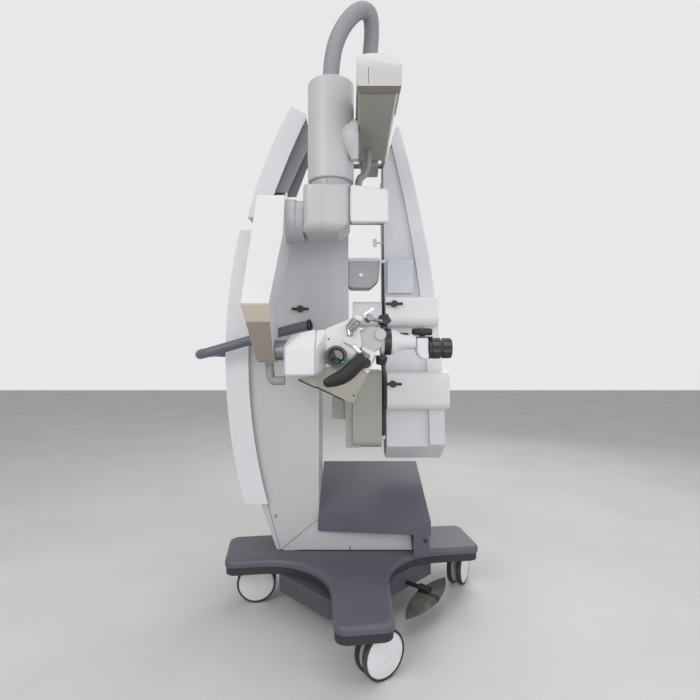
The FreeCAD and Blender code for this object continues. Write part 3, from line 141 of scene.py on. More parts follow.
def painted(name, code, rough, grain, grain_depth, drift, scuffs, coat=0.0):
    """Paint or moulded plastic: fine grain, slow colour drift, faint handling marks."""
    made = Nodes(name)
    colour = tone(code)
    slow = made.noise(3.5, 4.0)
    base = made.ramp(slow, [(0.3, shade(colour, 1 - drift)), (0.7, shade(colour, 1 + drift / 2))])
    marks = made.noise(22, 8.0, 0.7, made.stretched((1.0, 1.0, 0.35)))
    smudge = made.ramp(marks, [(0.52, (0, 0, 0, 1)), (0.72, (scuffs, scuffs, scuffs, 1))])
    made.join(made.mixed(smudge, base, shade(colour, 0.72)), made.shader.inputs["Base Color"])
    made.join(made.spread(made.noise(60, 5.0), rough - 0.07, rough + 0.09), made.shader.inputs["Roughness"])
    fine = made.bump(made.noise(grain, 2.0), 0.35, grain_depth)
    made.join(made.bump(made.noise(28, 3.0), 0.25, 0.0002, fine), made.shader.inputs["Normal"])
    made.shader.inputs["Coat Weight"].default_value = coat
    made.shader.inputs["Coat Roughness"].default_value = 0.18
    return made.material


def metal(name, code, rough=0.25, along=(1.0, 1.0, 24.0), depth=0.00003):
    """Turned or brushed metal with drawn lines."""
    made = Nodes(name)
    colour = tone(code)
    lines = made.noise(160, 4.0, 0.6, made.stretched(along))
    made.join(made.ramp(lines, [(0.3, shade(colour, 0.82)), (0.7, shade(colour, 1.08))]),
              made.shader.inputs["Base Color"])
    made.join(made.spread(made.noise(40, 5.0), rough - 0.06, rough + 0.12), made.shader.inputs["Roughness"])
    made.join(made.bump(lines, 0.3, depth), made.shader.inputs["Normal"])
    made.shader.inputs["Metallic"].default_value = 1.0
    return made.material


def rubber(name, code, rough=0.68, grain=700, depth=0.00012, dust=0.18):
    """Matt rubber with a pebbled skin and a little dust."""
    made = Nodes(name)
    colour = tone(code)
    dusty = made.ramp(made.noise(14, 7.0, 0.65), [(0.45, (0, 0, 0, 1)), (0.8, (dust, dust, dust, 1))])
    made.join(made.mixed(dusty, colour, tone("8a8880")), made.shader.inputs["Base Color"])
    made.join(made.spread(made.noise(90, 3.0), rough - 0.1, rough + 0.1), made.shader.inputs["Roughness"])
    made.join(made.bump(made.noise(grain, 2.0), 0.6, depth), made.shader.inputs["Normal"])
    return made.material


def lens_glass(name):
    """Coated glass: dark, with green and violet reflections painted into its colour by the viewing angle."""
    made = Nodes(name)
    facing = made.add("ShaderNodeLayerWeight")
    facing.inputs["Blend"].default_value = 0.35
    # Painted reflection: dark where the glass faces the view, green and then violet towards its grazing edges
    painted_reflection = made.ramp(facing.outputs["Facing"],
                     [(0.0, tone("0c1412")), (0.45, tone("1d5a48")), (1.0, tone("3a3350"))])
    drift = made.ramp(made.noise(60, 2.0), [(0.3, tone("0a0f10")), (0.7, tone("16382f"))])
    half = made.spread(made.noise(18, 2.0), 0.25, 0.75)
    made.join(made.mixed(half, painted_reflection, drift), made.shader.inputs["Base Color"])
    made.shader.inputs["Roughness"].default_value = 0.06
    made.shader.inputs["Coat Weight"].default_value = 1.0
    made.shader.inputs["Coat Roughness"].default_value = 0.02
    return made.material


# Colour, roughness, grain, grain depth, colour drift and scuffs; the black metal has a clear coat
PAINTS = {
    "slate_cover": ("5a5965", 0.46, 1100, 0.0001, 0.05, 0.2),
    "slate_casting": ("4e4d57", 0.55, 500, 0.00016, 0.08, 0.25),
    "dark_skirt": ("2e2e32", 0.6, 900, 0.00008, 0.06, 0.2),
    "slate_tube": ("62616e", 0.4, 800, 0.00005, 0.05, 0.15),
    "grey_housing": ("bcbcbf", 0.4, 1000, 0.00006, 0.035, 0.06),
    "grey_casting": ("aeaeb2", 0.42, 900, 0.00007, 0.04, 0.08),
    "white_bow": ("d8d8dc", 0.4, 1000, 0.00005, 0.025, 0.05),
    "white_cover": ("dcdcde", 0.38, 1000, 0.00005, 0.02, 0.05),
    "warm_cover": ("c4c2c0", 0.42, 1000, 0.00005, 0.03, 0.05),
    "beige_plate": ("a7a39a", 0.5, 900, 0.00006, 0.04, 0.08),
    "beige_cover": ("a09c94", 0.48, 900, 0.00006, 0.04, 0.06),
    "dark_weight": ("a5a29b", 0.5, 600, 0.0001, 0.05, 0.1),
    "wheel_white": ("e0e0e3", 0.34, 800, 0.00004, 0.02, 0.14),
    "label_plate": ("c8ccd4", 0.34, 700, 0.00002, 0.02, 0.05),
    "black_metal": ("1b1c21", 0.32, 900, 0.00004, 0.1, 0.1, 0.3),
    "black_plastic": ("18181b", 0.44, 700, 0.00008, 0.1, 0.12),
    "blue_black": ("20242f", 0.36, 700, 0.00006, 0.1, 0.1),
    "grey_hose": ("96969b", 0.55, 900, 0.00006, 0.05, 0.14),
    "seam": ("4a4a4e", 0.6, 900, 0.00004, 0.1, 0.1),
    # Painted shade: near black for the gap at the foot
    "gap_shade": ("1d1d1f", 0.7, 900, 0.00004, 0.1, 0.1),
    # Painted shade: a beige band on the swing arm's front at the elbow, and brown below it
    "elbow_shade_beige": ("bfb6a8", 0.5, 900, 0.00006, 0.03, 0.06),
    "under_shade_brown": ("8f867b", 0.52, 900, 0.00006, 0.04, 0.08),
    # Painted shade: a darker beige for the upper arm's downward and front faces
    "beam_painted_shade": ("8d877e", 0.5, 900, 0.00006, 0.04, 0.06),
    # Painted shade: the darker grey of the bow's deeper inner plate
    "lining_shade_grey": ("8f8f93", 0.5, 900, 0.00006, 0.04, 0.08),
    # Painted glints: green for the studs at the lens rim
    "green_glint": ("2f9c7c", 0.4, 900, 0.00004, 0.05, 0.05),
}
SKIN = {name: painted(name, *values) for name, values in PAINTS.items()}
SKIN["steel"] = metal("steel", "8f8f93", 0.28)
SKIN["screw_steel"] = metal("screw_steel", "a8a8ab", 0.3, (30.0, 1.0, 1.0))
SKIN["chrome"] = metal("chrome", "b4b4b8", 0.17, (1.0, 1.0, 6.0), 0.00001)
SKIN["black_rubber"] = rubber("black_rubber", "151517")
SKIN["grip_rubber"] = rubber("grip_rubber", "1b1817", 0.6, 420, 0.0003, 0.1)
SKIN["pedal_rubber"] = rubber("pedal_rubber", "4b4944", 0.8, 500, 0.0002, 0.7)
SKIN["tyre"] = rubber("tyre", "2c2b2e", 0.7, 600, 0.00012, 0.35)
SKIN["lens_glass"] = lens_glass("lens_glass")
NODE_SKIN = {
    "arm_cap": "warm_cover", "arm_beam": "beige_cover", "zoom_knob": "black_plastic",
    "clamp_ring": "black_metal", "drum_spindle": "grey_casting", "base_skirt": "dark_skirt",
    "side_shelf": "grey_casting", "focus_knob": "grey_housing", "scope_body": "white_cover",
}


def dress(thing, skin):
    """Gives a solid one finish."""
    slots = thing.material_slots
    if len(slots) == 0:
        thing.data.materials.append(SKIN[skin])
    else:
        for slot in slots:
            slot.link = "OBJECT"
            slot.material = SKIN[skin]


SLOT_OF = {entry["node"]: entry["material_slot"] for entry in frame["record"]["subparts"]}
BODY_OF = {node: body for body, nodes in frame["record"]["behaviour"]["bodies"].items() for node in nodes}
for node_name, node in frame["nodes"].items():
    skin = NODE_SKIN.get(node_name, SLOT_OF.get(node_name, "grey_housing"))
    if skin == "wheel":
        skin = "wheel_white"
    dress(node, skin)


# Mesh helpers, in millimetres of the drawing

def placed(spot):
    """A spot of the drawing as metres of the frame."""
    return tuple((V(spot) + ROW) * MM)


def piece(name, verts, faces, skin, body, smooth=True, sharp=40):
    """A mesh object that rides on a body."""
    data = bpy.data.meshes.new(name)
    data.from_pydata([placed(vert) for vert in verts], [], faces)
    tidy = bmesh.new()
    tidy.from_mesh(data)
    bmesh.ops.remove_doubles(tidy, verts=tidy.verts, dist=0.000001)
    bmesh.ops.recalc_face_normals(tidy, faces=tidy.faces)
    tidy.to_mesh(data)
    tidy.free()
    thing = bpy.data.objects.new(name, data)
    bpy.context.scene.collection.objects.link(thing)
    data.materials.append(SKIN[skin])
    if smooth:
        for face in data.polygons:
            face.use_smooth = True
        data.set_sharp_from_angle(angle=math.radians(sharp))
    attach(thing, body)
    return thing


def turn_to(axis):
    """A rotation that takes +z to the axis."""
    return V((0, 0, 1)).rotation_difference(V(axis).normalized()).to_matrix()


def lathe(name, profile, centre, axis, skin, body, steps=48, sharp=40, ribs=0, rib_depth=0.0):
    """A closed outline of (radius, height) turned about an axis, with ribs round its outside if wanted."""
    turn = turn_to(axis)
    verts = []
    faces = []
    count = len(profile)
    widest = max(radius for radius, height in profile)
    for step in range(steps):
        angle = 2 * math.pi * step / steps
        for radius, height in profile:
            if radius > 0.94 * widest:
                radius -= rib_depth * (0.5 - 0.5 * math.cos(ribs * angle))
            spot = turn @ V((radius * math.cos(angle), radius * math.sin(angle), height)) + V(centre)
            verts.append(spot)
    for step in range(steps):
        after = (step + 1) % steps
        for index in range(count):
            following = (index + 1) % count
            if profile[index][0] < 1e-6 and profile[following][0] < 1e-6:
                continue
            corners = [step * count + index, step * count + following, after * count + following,
                       after * count + index]
            if profile[index][0] < 1e-6:
                corners = corners[:3]
            elif profile[following][0] < 1e-6:
                corners = [corners[0], corners[1], corners[3]]
            faces.append(corners)
    return piece(name, verts, faces, skin, body, True, sharp)


def bevelled(thing, width, segments=3, angle=35):
    """Rounds the edges and keeps the result as the piece's own mesh."""
    change = thing.modifiers.new("Bevel", "BEVEL")
    change.width = width * MM
    change.segments = segments
    change.limit_method = "ANGLE"
    change.angle_limit = math.radians(angle)
    even_out = thing.modifiers.new("Normals", "WEIGHTED_NORMAL")
    even_out.keep_sharp = True
    even_out.weight = 60
    for face in thing.data.polygons:
        face.use_smooth = True
    settle(thing)
    return thing


def settle(thing):
    """Applies the modifiers of a piece."""
    bpy.context.view_layer.update()
    graph = bpy.context.evaluated_depsgraph_get()
    done = bpy.data.meshes.new_from_object(thing.evaluated_get(graph))
    thing.modifiers.clear()
    old = thing.data
    thing.data = done
    bpy.data.meshes.remove(old)


def slab(name, low, high, skin, body, round_off, turn=None):
    """A box with rounded edges, turned about its middle if wanted."""
    xs, ys, zs = zip(low, high)
    verts = [V((x, y, z)) for x in xs for y in ys for z in zs]
    if turn is not None:
        middle = (V(low) + V(high)) / 2
        verts = [turn @ (vert - middle) + middle for vert in verts]
    faces = [(0, 1, 3, 2), (4, 6, 7, 5), (0, 4, 5, 1), (2, 3, 7, 6), (0, 2, 6, 4), (1, 5, 7, 3)]
    return bevelled(piece(name, verts, faces, skin, body, False), round_off)


def prism(name, corners, front, back, skin, body, round_off):
    """An outline of (x, z) corners between two depths, with rounded edges."""
    count = len(corners)
    verts = [(x, y, z) for y in (front, back) for x, z in corners]
    faces = [tuple(range(count)), tuple(range(2 * count - 1, count - 1, -1))]
    for index in range(count):
        after = (index + 1) % count
        faces.append((index, index + count, after + count, after))
    return bevelled(piece(name, verts, faces, skin, body, False), round_off)


def hull(name, spots, skin, body, round_off):
    """The tight skin round some spots, with rounded edges."""
    work = bmesh.new()
    for spot in spots:
        work.verts.new(spot)
    bmesh.ops.convex_hull(work, input=work.verts)
    bmesh.ops.delete(work, geom=[vert for vert in work.verts if not vert.link_faces], context="VERTS")
    bmesh.ops.dissolve_limit(work, angle_limit=math.radians(3), verts=work.verts, edges=work.edges)
    work.verts.index_update()
    verts = [vert.co.copy() for vert in work.verts]
    faces = [tuple(vert.index for vert in face.verts) for face in work.faces]
    work.free()
    return bevelled(piece(name, verts, faces, skin, body, False), round_off, 4, 25)


def fine_line(name, spots, body, skin="seam", radius=0.7):
    """A thin seam or gap line along some spots."""
    return swept(name, [V(placed(spot)) for spot in spots], lambda index: radius, skin, body, 6, 80)


def repaint(thing, skin, wanted):
    """Another finish for the faces that are picked by their middle, in mm, and their direction."""
    thing.data.materials.append(SKIN[skin])
    number = len(thing.data.materials) - 1
    for face in thing.data.polygons:
        if wanted(face.center / MM - ROW, face.normal):
            face.material_index = number


def softened(node_name, width, levels=()):
    """A node's own form with its edges rounded and its faces divided at some levels."""
    node = frame["nodes"][node_name]
    thing = bpy.data.objects.new(node_name + "_form", node.data.copy())
    bpy.context.scene.collection.objects.link(thing)
    work = bmesh.new()
    work.from_mesh(thing.data)
    bmesh.ops.remove_doubles(work, verts=work.verts, dist=0.00001)
    bmesh.ops.dissolve_limit(work, angle_limit=math.radians(4), verts=work.verts, edges=work.edges)
    for level in levels:
        everything = list(work.verts) + list(work.edges) + list(work.faces)
        bmesh.ops.bisect_plane(work, geom=everything, plane_co=(0, 0, level * MM), plane_no=(0, 0, 1))
    work.to_mesh(thing.data)
    work.free()
    thing.data.materials.clear()
    thing.data.materials.append(SKIN[NODE_SKIN.get(node_name, SLOT_OF[node_name])])
    bevelled(thing, width)
    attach(thing, BODY_OF[node_name])
    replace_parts(thing, node_name)
    return thing


def ringed(name, rings, skin, body, sharp=50):
    """A closed mesh through rings of the same count."""
    count = len(rings[0])
    verts = [spot for ring in rings for spot in ring]
    faces = [tuple(range(count)), tuple(range(len(verts) - 1, len(verts) - count - 1, -1))]
    for index in range(len(rings) - 1):
        for step in range(count):
            after = (step + 1) % count
            faces.append((index * count + step, index * count + after, (index + 1) * count + after,
                          (index + 1) * count + step))
    return piece(name, verts, faces, skin, body, True, sharp)


def screw(name, centre, axis, radius, body, skin="screw_steel"):
    """A round-headed screw with a hexagon socket."""
    turn = turn_to(axis)
    high = radius * 0.35
    recess = radius * 0.45
    steps = 24
    rings = []
    for wide, height in ((radius, -0.3), (radius, high * 0.55), (radius * 0.86, high), (recess, high),
                         (recess * 0.9, high * 0.1)):
        ring = []
        for step in range(steps):
            angle = 2 * math.pi * step / steps
            inside = wide * (1 - 0.1 * abs(math.cos(3 * angle))) if wide < recess else wide
            ring.append(turn @ V((inside * math.cos(angle), inside * math.sin(angle), height)) + V(centre))
        rings.append(ring)
    return ringed(name, rings, skin, body, 35)


# Routes: a smooth curve through control points, and ribbed tubes along it

def nurbs(name, points):
    """An open smooth curve with the route's points as control points."""
    data = bpy.data.curves.new(name, "CURVE")
    data.dimensions = "3D"
    data.resolution_u = 24
    spline = data.splines.new("NURBS")
    spline.points.add(len(points) - 1)
    for point, spot in zip(spline.points, points):
        point.co = (*placed(spot), 1.0)
    spline.order_u = 3
    spline.use_endpoint_u = True
    return data


def centre_line(name, points):
    """The points of a route's smooth curve, in metres."""
    data = nurbs(name + "_route", points)
    data.bevel_depth = 0.0
    thing = bpy.data.objects.new(name + "_route", data)
    mesh = bpy.data.meshes.new_from_object(thing)
    line = [vert.co.copy() for vert in mesh.vertices]
    bpy.data.meshes.remove(mesh)
    bpy.data.objects.remove(thing)
    bpy.data.curves.remove(data)
    return line


def even(line, step):
    """The line's points at even distances."""
    lengths = [0.0]
    for before, after in zip(line, line[1:]):
        lengths.append(lengths[-1] + (after - before).length)
    total = lengths[-1]
    count = max(2, round(total / step))
    result = []
    index = 0
    for number in range(count + 1):
        wanted = total * number / count
        while index < len(line) - 2 and lengths[index + 1] < wanted:
            index += 1
        run = lengths[index + 1] - lengths[index]
        share = (wanted - lengths[index]) / run if run > 0 else 0
        result.append(line[index].lerp(line[index + 1], share))
    return result


def swept(name, line, radius_at, skin, body, steps, sharp):
    """A round tube along a line; radius_at gives the radius in mm for each point."""
    rings = []
    side = None
    for index, spot in enumerate(line):
        before = line[max(0, index - 1)]
        after = line[min(len(line) - 1, index + 1)]
        ahead = (after - before).normalized()
        if side is None:
            side = ahead.orthogonal().normalized()
        side = (side - ahead * side.dot(ahead)).normalized()
        other = ahead.cross(side)
        radius = radius_at(index) * MM
        ring = []
        for step in range(steps):
            angle = 2 * math.pi * step / steps
            way = side * math.cos(angle) + other * math.sin(angle)
            ring.append((spot + way * radius) / MM - ROW)
        rings.append(ring)
    return ringed(name, rings, skin, body, sharp)


# One rib of a corrugated hose, as shares of its depth
WAVES = (0.0, 0.35, 0.9, 1.0, 0.9, 0.35)


def ribbed_hose(name, points, radius, pitch, depth, body):
    """A corrugated hose as a mesh tube, with the points of its route."""
    route = centre_line(name, points)
    line = even(route, pitch * MM / len(WAVES))
    hose = swept(name, line, lambda index: radius - depth * (1 - WAVES[index % len(WAVES)]), "grey_hose",
                 body, 24, 60)
    return hose, route


# The camera stands where the photo's did: level, 1 m up and 2 m in front of the base

CAMERA = V((-20, -2000, 1000))
PICTURE = 700
FOCAL = 485.0
HORIZON = 346.0
SENSOR = 36.0
camera_data = bpy.data.cameras.new("camera")
camera_data.sensor_width = SENSOR
camera_data.lens = FOCAL / PICTURE * SENSOR
camera_data.shift_y = (HORIZON - PICTURE / 2) / PICTURE
camera = bpy.data.objects.new("camera", camera_data)
camera.location = placed(CAMERA)
camera.rotation_euler = (math.radians(90), 0, 0)
bpy.context.scene.collection.objects.link(camera)
bpy.context.scene.camera = camera


def lamp(name, spot, target, size_m, power, colour=(1.0, 1.0, 1.0)):
    """A square soft light that looks at a point."""
    data = bpy.data.lights.new(name, "AREA")
    data.size = size_m
    data.energy = power
    data.color = colour
    thing = bpy.data.objects.new(name, data)
    thing.location = V(spot) + ROW * MM
    thing.rotation_euler = (V(target) - V(spot)).to_track_quat("-Z", "Y").to_euler()
    bpy.context.scene.collection.objects.link(thing)


lamp("key", (-1.9, -2.6, 2.6), (0, 0, 1.0), 1.6, 38, (1.0, 0.98, 0.96))
lamp("front", (0.6, -4.4, 1.5), (0, 0, 1.0), 2.4, 40, (0.98, 0.98, 1.0))
lamp("fill", (2.8, -2.0, 1.8), (0, 0, 0.9), 2.2, 26, (0.95, 0.97, 1.0))
lamp("overhead", (0.2, -0.2, 4.4), (0, 0, 0.5), 2.4, 30)
lamp("back", (1.2, 2.6, 2.6), (0, 0, 1.2), 1.8, 30)

# The background looks pale to the camera and in reflections, and lights the part less strongly
world = bpy.data.worlds.new("world")
bpy.context.scene.world = world
world.use_nodes = True
tree = world.node_tree
background = tree.nodes["Background"]
path = tree.nodes.new("ShaderNodeLightPath")
seen = tree.nodes.new("ShaderNodeMath")
seen.operation = "MAXIMUM"
seen_through = tree.nodes.new("ShaderNodeMath")
seen_through.operation = "MAXIMUM"
strength = tree.nodes.new("ShaderNodeMapRange")
strength.inputs["To Min"].default_value = 0.42
strength.inputs["To Max"].default_value = 0.86
tree.links.new(path.outputs["Is Camera Ray"], seen.inputs[0])
tree.links.new(path.outputs["Is Glossy Ray"], seen.inputs[1])
tree.links.new(seen.outputs[0], seen_through.inputs[0])
tree.links.new(path.outputs["Is Transmission Ray"], seen_through.inputs[1])
tree.links.new(seen_through.outputs[0], strength.inputs["Value"])
tree.links.new(strength.outputs["Result"], background.inputs["Strength"])
background.inputs["Color"].default_value = (0.93, 0.94, 0.95, 1.0)

FLOOR = 9
floor_data = bpy.data.meshes.new("floor")
floor_data.from_pydata([(-FLOOR, -FLOOR, 0), (FLOOR, -FLOOR, 0), (FLOOR, FLOOR, 0), (-FLOOR, FLOOR, 0)], [],
                       [(0, 1, 2, 3)])
floor = bpy.data.objects.new("floor", floor_data)
bpy.context.scene.collection.objects.link(floor)
ground = Nodes("floor_finish")
ground.join(ground.ramp(ground.noise(1.6, 4.0), [(0.3, tone("d3d3d1")), (0.7, tone("dcdcda"))]),
            ground.shader.inputs["Base Color"])
ground.shader.inputs["Roughness"].default_value = 0.75
floor_data.materials.append(ground.material)


# Casters: domed white discs with a hub ring, thin dark tyres

CASTER_SPOTS = {"left": (-417.99, -87.34, 8), "front": (45.12, -544.34, 34), "right": (425.72, 31.24, 62),
                "rear": (-65.12, 484.34, 20)}
TRAIL = 30
WHEEL = 75
DISC = 68
HALF_GAP = 9
NUT_HALF = 5.9


def wheel_half(name, centre, axis, body):
    """One disc with its tyre, its inner face half a gap from the caster's middle."""
    start = V(centre) + V(axis) * HALF_GAP
    lathe(name + "_disc", [(6.1, 0), (DISC - 0.4, 0), (DISC - 0.4, 17.5), (DISC - 2, 19.5), (DISC - 5, 21),
                           (DISC - 9, 21.6), (DISC - 10, 20.9), (DISC - 11.5, 20.9), (DISC - 13, 21.8),
                           (DISC - 24, 23.6), (30, 24.4), (21.5, 24.6), (20.5, 23.8), (19, 23.8), (18, 24.6),
                           (12, 24.9), (6.1, 24.9)], start, axis, "wheel_white", body, 72, 38)
    lathe(name + "_tyre", [(DISC, 1), (WHEEL - 4, 0.2), (WHEEL - 1.2, 1.6), (WHEEL, 5), (WHEEL, 16),
                           (WHEEL - 1.2, 19), (WHEEL - 3.5, 20.6), (DISC + 0.3, 20.4), (DISC, 18)],
          start, axis, "tyre", body, 72, 60)
    lathe(name + "_cap", [(0, 24.4), (11.6, 24.4), (11.6, 25.2), (10.4, 26.4), (5, 27.2), (0, 27.3)],
          start, axis, "wheel_white", body, 36, 50)


for side, (x, y, angle) in CASTER_SPOTS.items():
    turn = math.radians(angle)
    ahead = V((math.cos(turn), math.sin(turn), 0))
    axle = V((-math.sin(turn), math.cos(turn), 0))
    hub = V((x, y, WHEEL)) + ahead * TRAIL
    for number, way in enumerate((1, -1)):
        wheel_half("wheel_" + side + "_" + str(number), hub, axle * way, "wheels_" + side)
    nut = lathe("wheel_" + side + "_axle_nut", [(0, -NUT_HALF), (9, -NUT_HALF), (9, NUT_HALF), (0, NUT_HALF)],
                hub, axle, "steel", "wheels_" + side, 6, 20)
    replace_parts(nut, "caster_wheels_" + side)


# Hoses and the hanging lead

DRUM = (-87, -300)
DRUM_TOP = 1911
COLLAR_TOP = 1856
ARM_LOW = 1728
JOINT_TOP = 1542


def on_drum(x, y, z):
    """A route point counted from the drum's top."""
    return (DRUM[0] + x, DRUM[1] + y, z)


loop_points = [on_drum(0, 0, DRUM_TOP + 0.3), on_drum(0, 0, DRUM_TOP + 89), on_drum(30, 10, DRUM_TOP + 200),
               on_drum(92, 40, DRUM_TOP + 296), on_drum(140, 72, DRUM_TOP + 313),
               on_drum(150, 118, DRUM_TOP + 270), on_drum(142, 138, DRUM_TOP + 180),
               on_drum(137, 140, DRUM_TOP + 79), on_drum(137, 140, COLLAR_TOP + 0.3)]
loop, loop_line = ribbed_hose("hose_loop_ribbed", loop_points, 29, 9.0, 1.9, "upper_arm")
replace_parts(loop, "hose_loop")
placed(loop_points[0])

feed_points = [(48, -190, ARM_LOW - 0.5), (48, -190, ARM_LOW - 50), (34, -216, ARM_LOW - 100),
               (8, -260, ARM_LOW - 130), (8, -260, JOINT_TOP + 4)]
feed, feed_line = ribbed_hose("feed_hose_ribbed", feed_points, 13, 6.0, 1.1, "joint_housing")
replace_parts(feed, "feed_hose")
placed(feed_points[0])

WRIST_LOW = 945
wrist_points = [(-290, -372, WRIST_LOW - 0.5), (-290, -372, WRIST_LOW - 36), (-280, -380, WRIST_LOW - 62),
                (-260, -388, WRIST_LOW - 60), (-237, -388, WRIST_LOW - 60)]
wrist = ribbed_hose("wrist_hose_ribbed", wrist_points, 15, 6.0, 1.1, "swing_arm")[0]
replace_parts(wrist, "wrist_hose")

lead_points = [(112, -46, 1333.7), (112, -45.4, 1250), (112.5, -46, 1160), (112, -46.6, 1070),
               (111.5, -46, 980), (112, -45.4, 890), (112.5, -46, 800), (112, -46.5, 720), (112, -46, 638.3)]
lead_data = nurbs("hanging_lead_line", lead_points)
lead_data.bevel_depth = 0.003
lead_data.bevel_resolution = 4
lead_data.use_fill_caps = True
lead = bpy.data.objects.new("hanging_lead_line", lead_data)
bpy.context.scene.collection.objects.link(lead)
lead_data.materials.append(SKIN["black_rubber"])
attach(lead, "lever")
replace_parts(lead, "hanging_lead")
placed(lead_points[0])


# Softened forms for the rigid covers

for node_name, width in (("arm_cap", 9), ("arm_beam", 5), ("upper_weight", 5), ("lower_weight", 5),
                         ("side_shelf", 3), ("column_housing", 3), ("weight_cover", 3), ("foot_panel", 1.2),
                         ("column_head", 6), ("lever_plates", 2), ("level_head", 2), ("bow_brackets", 2),
                         ("scope_side_plate", 1.2), ("base_chassis", 3)):
    form = softened(node_name, width)
    # Painted shade: the cap's downward faces and the beam's front faces get the darker beige
    if node_name == "arm_cap":
        repaint(form, "beam_painted_shade", lambda spot, way: way.z < -0.4)
    if node_name == "arm_beam":
        repaint(form, "beam_painted_shade", lambda spot, way: way.y < -0.4)
cap_spots = [(x, -391, z) for x, z in ((-19, 1410), (-19, 1537), (108, 1410), (108, 1520))]
cap_spots += [(x, -345, z) for x, z in ((-19, 1540), (110, 1528), (-19, 1416), (110, 1418))]
cap_spots += [(x, -209, z) for x, z in ((-19, 1452), (-19, 1540), (108, 1456), (108, 1528))]
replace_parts(hull("end_cap_form", cap_spots, "white_cover", "joint_housing", 9), "joint_end_cap")
shells = softened("joint_shells", 4)
SHELL_MIDDLE = 1450
SHELL_LIFT = 0.26
for vert in shells.data.vertices:
    low = SHELL_MIDDLE - vert.co.z / MM
    if low > 0:
        vert.co.z += SHELL_LIFT * low * MM
ELBOW = 1133
ELBOW_LOW = 1076
WEIGHT_SPLIT = 1000
swing = softened("swing_arm_shell", 7, levels=(ELBOW_LOW,))
# Painted shade on the swing arm's front faces: beige at the elbow, brown below it
repaint(swing, "elbow_shade_beige", lambda spot, way: way.y < -0.45 and ELBOW_LOW < spot.z < ELBOW)
repaint(swing, "under_shade_brown", lambda spot, way: way.y < -0.45 and spot.z < ELBOW_LOW)
# The inner weights turn white above WEIGHT_SPLIT; below it they keep their darker slot finish as painted
# shade
weights = softened("inner_weights", 8)
repaint(weights, "white_cover", lambda spot, way: spot.z > WEIGHT_SPLIT)


# Screws, seams and small plates

screw("shelf_screw", (24.6, -32, 1288), (0, -1, 0), 9, "stand")
screw("column_screw", (-308, -112, 338), (0, -1, 0), 7, "stand")
screw("box_leg_screw", (264, -174.2, 267), (0, -1, 0), 7, "stand", "black_metal")
# A near-black line and notch at the foot: painted shade in the gap
fine_line("foot_gap", [(-291, -115, 208.6), (-150, -119.4, 208.6), (218, -119.4, 208.6)], "stand",
          "gap_shade", 1.6)
slab("foot_notch", (-21.5, -119.6, 207.5), (-17.5, -117.6, 223), "gap_shade", "stand", 0.4)
fine_line("column_strip", [(-344, -112.4, 401), (-292, -112.4, 212)], "stand", "seam", 0.9)
fine_line("foot_seam", [(-280, -118.4, 217), (-140, -118.4, 330)], "stand")
slab("shelf_edge", (-25, -34, 1344), (102, -31, 1357), "white_cover", "stand", 1)
slab("label_plate", (131, -42, 1214), (236, -39, 1350), "label_plate", "lever", 0.8)
slab("lead_back", (107, -42, 645), (113.5, -38, 1330), "grey_casting", "lever", 0.8)
slab("lead_clip", (73, -46, 1400), (88, -38, 1432), "white_cover", "lever", 2)
slab("lead_clip_arm", (87, -44, 1413), (115, -40, 1418), "steel", "lever", 1)
fine_line("cap_seam", [(32, -637.2, 1737), (32, -637.2, 1784)], "upper_arm")
BOSS = V((8, -356, 1700))
BOSS_DEPTH = 0.6
boss = lathe("arm_boss", [(0, -71), (24, -70), (29, -58), (41, -39), (52, -19), (59, 0), (61, 15), (56, 31),
                          (45, 46), (27, 57), (0, 61)], BOSS, (0, 0, 1), "grey_housing", "upper_arm", 64, 60)
for vert in boss.data.vertices:
    spot = vert.co / MM - ROW - BOSS
    vert.co = placed(BOSS + V((min(spot.x, 0), spot.y * BOSS_DEPTH, spot.z)))
# Two grey plates on the bow's inner side stand for its painted shade, the deeper one darker
prism("bow_lining", [(-236, 1922), (-194, 1894), (-194, 1818), (-278, 1634), (-354, 1634)], 2, 5,
      "grey_casting", "lever", 1)
prism("bow_lining_deep", [(-199, 1842), (-199, 1762), (-248, 1632), (-285, 1632), (-285, 1654)], 58, 61,
      "lining_shade_grey", "lever", 1)
fine_line("neck_seam", [(-97, -369.6, 1546), (-97, -369.6, 1565)], "joint_housing", "seam", 0.5)
lathe("handle_end_ring", [(17.5, -4), (21, -4), (22, -2), (22, 2), (21, 4), (17.5, 4)], (-170, -203, 1077),
      (1, -0.25, 0.1), "black_rubber", "stand", 40)


# The brake pedal: a boat-shaped ribbed tread with a strap, on its shaft

PEDAL_FRONT = V((172, -338, 66))
PEDAL_REAR = V((346, -130, 104))
PEDAL_HALF = 41
PEDAL_STEPS = 96
PEDAL_RIBS = 24
pedal_along = (PEDAL_REAR - PEDAL_FRONT).normalized()
pedal_side = V((0.777, -0.629, 0.0))
pedal_up = pedal_side.cross(pedal_along).normalized()
if pedal_up.z < 0:
    pedal_up = -pedal_up


def pedal_rings(starts, extra, rib_depth):
    """Closed rings round the tread at some shares of its length, from -1 to 1."""
    rings = []
    for share in starts:
        middle = (PEDAL_FRONT + PEDAL_REAR) / 2 + (PEDAL_REAR - PEDAL_FRONT) / 2 * share
        half = PEDAL_HALF * (1 - abs(share) ** 2.3) + 1.5 + extra
        thick = 5 + 6 * (1 - share * share) + extra
        ring = []
        for step in range(PEDAL_STEPS):
            angle = 2 * math.pi * step / PEDAL_STEPS
            rib = rib_depth * math.cos(angle * PEDAL_RIBS) if math.sin(angle) > 0 else 0
            wide = half * math.copysign(abs(math.cos(angle)) ** 0.7, math.cos(angle))
            high = thick * math.copysign(abs(math.sin(angle)) ** 0.6, math.sin(angle)) + rib
            ring.append(middle + pedal_side * wide + pedal_up * high)
        rings.append(ring)
    return rings


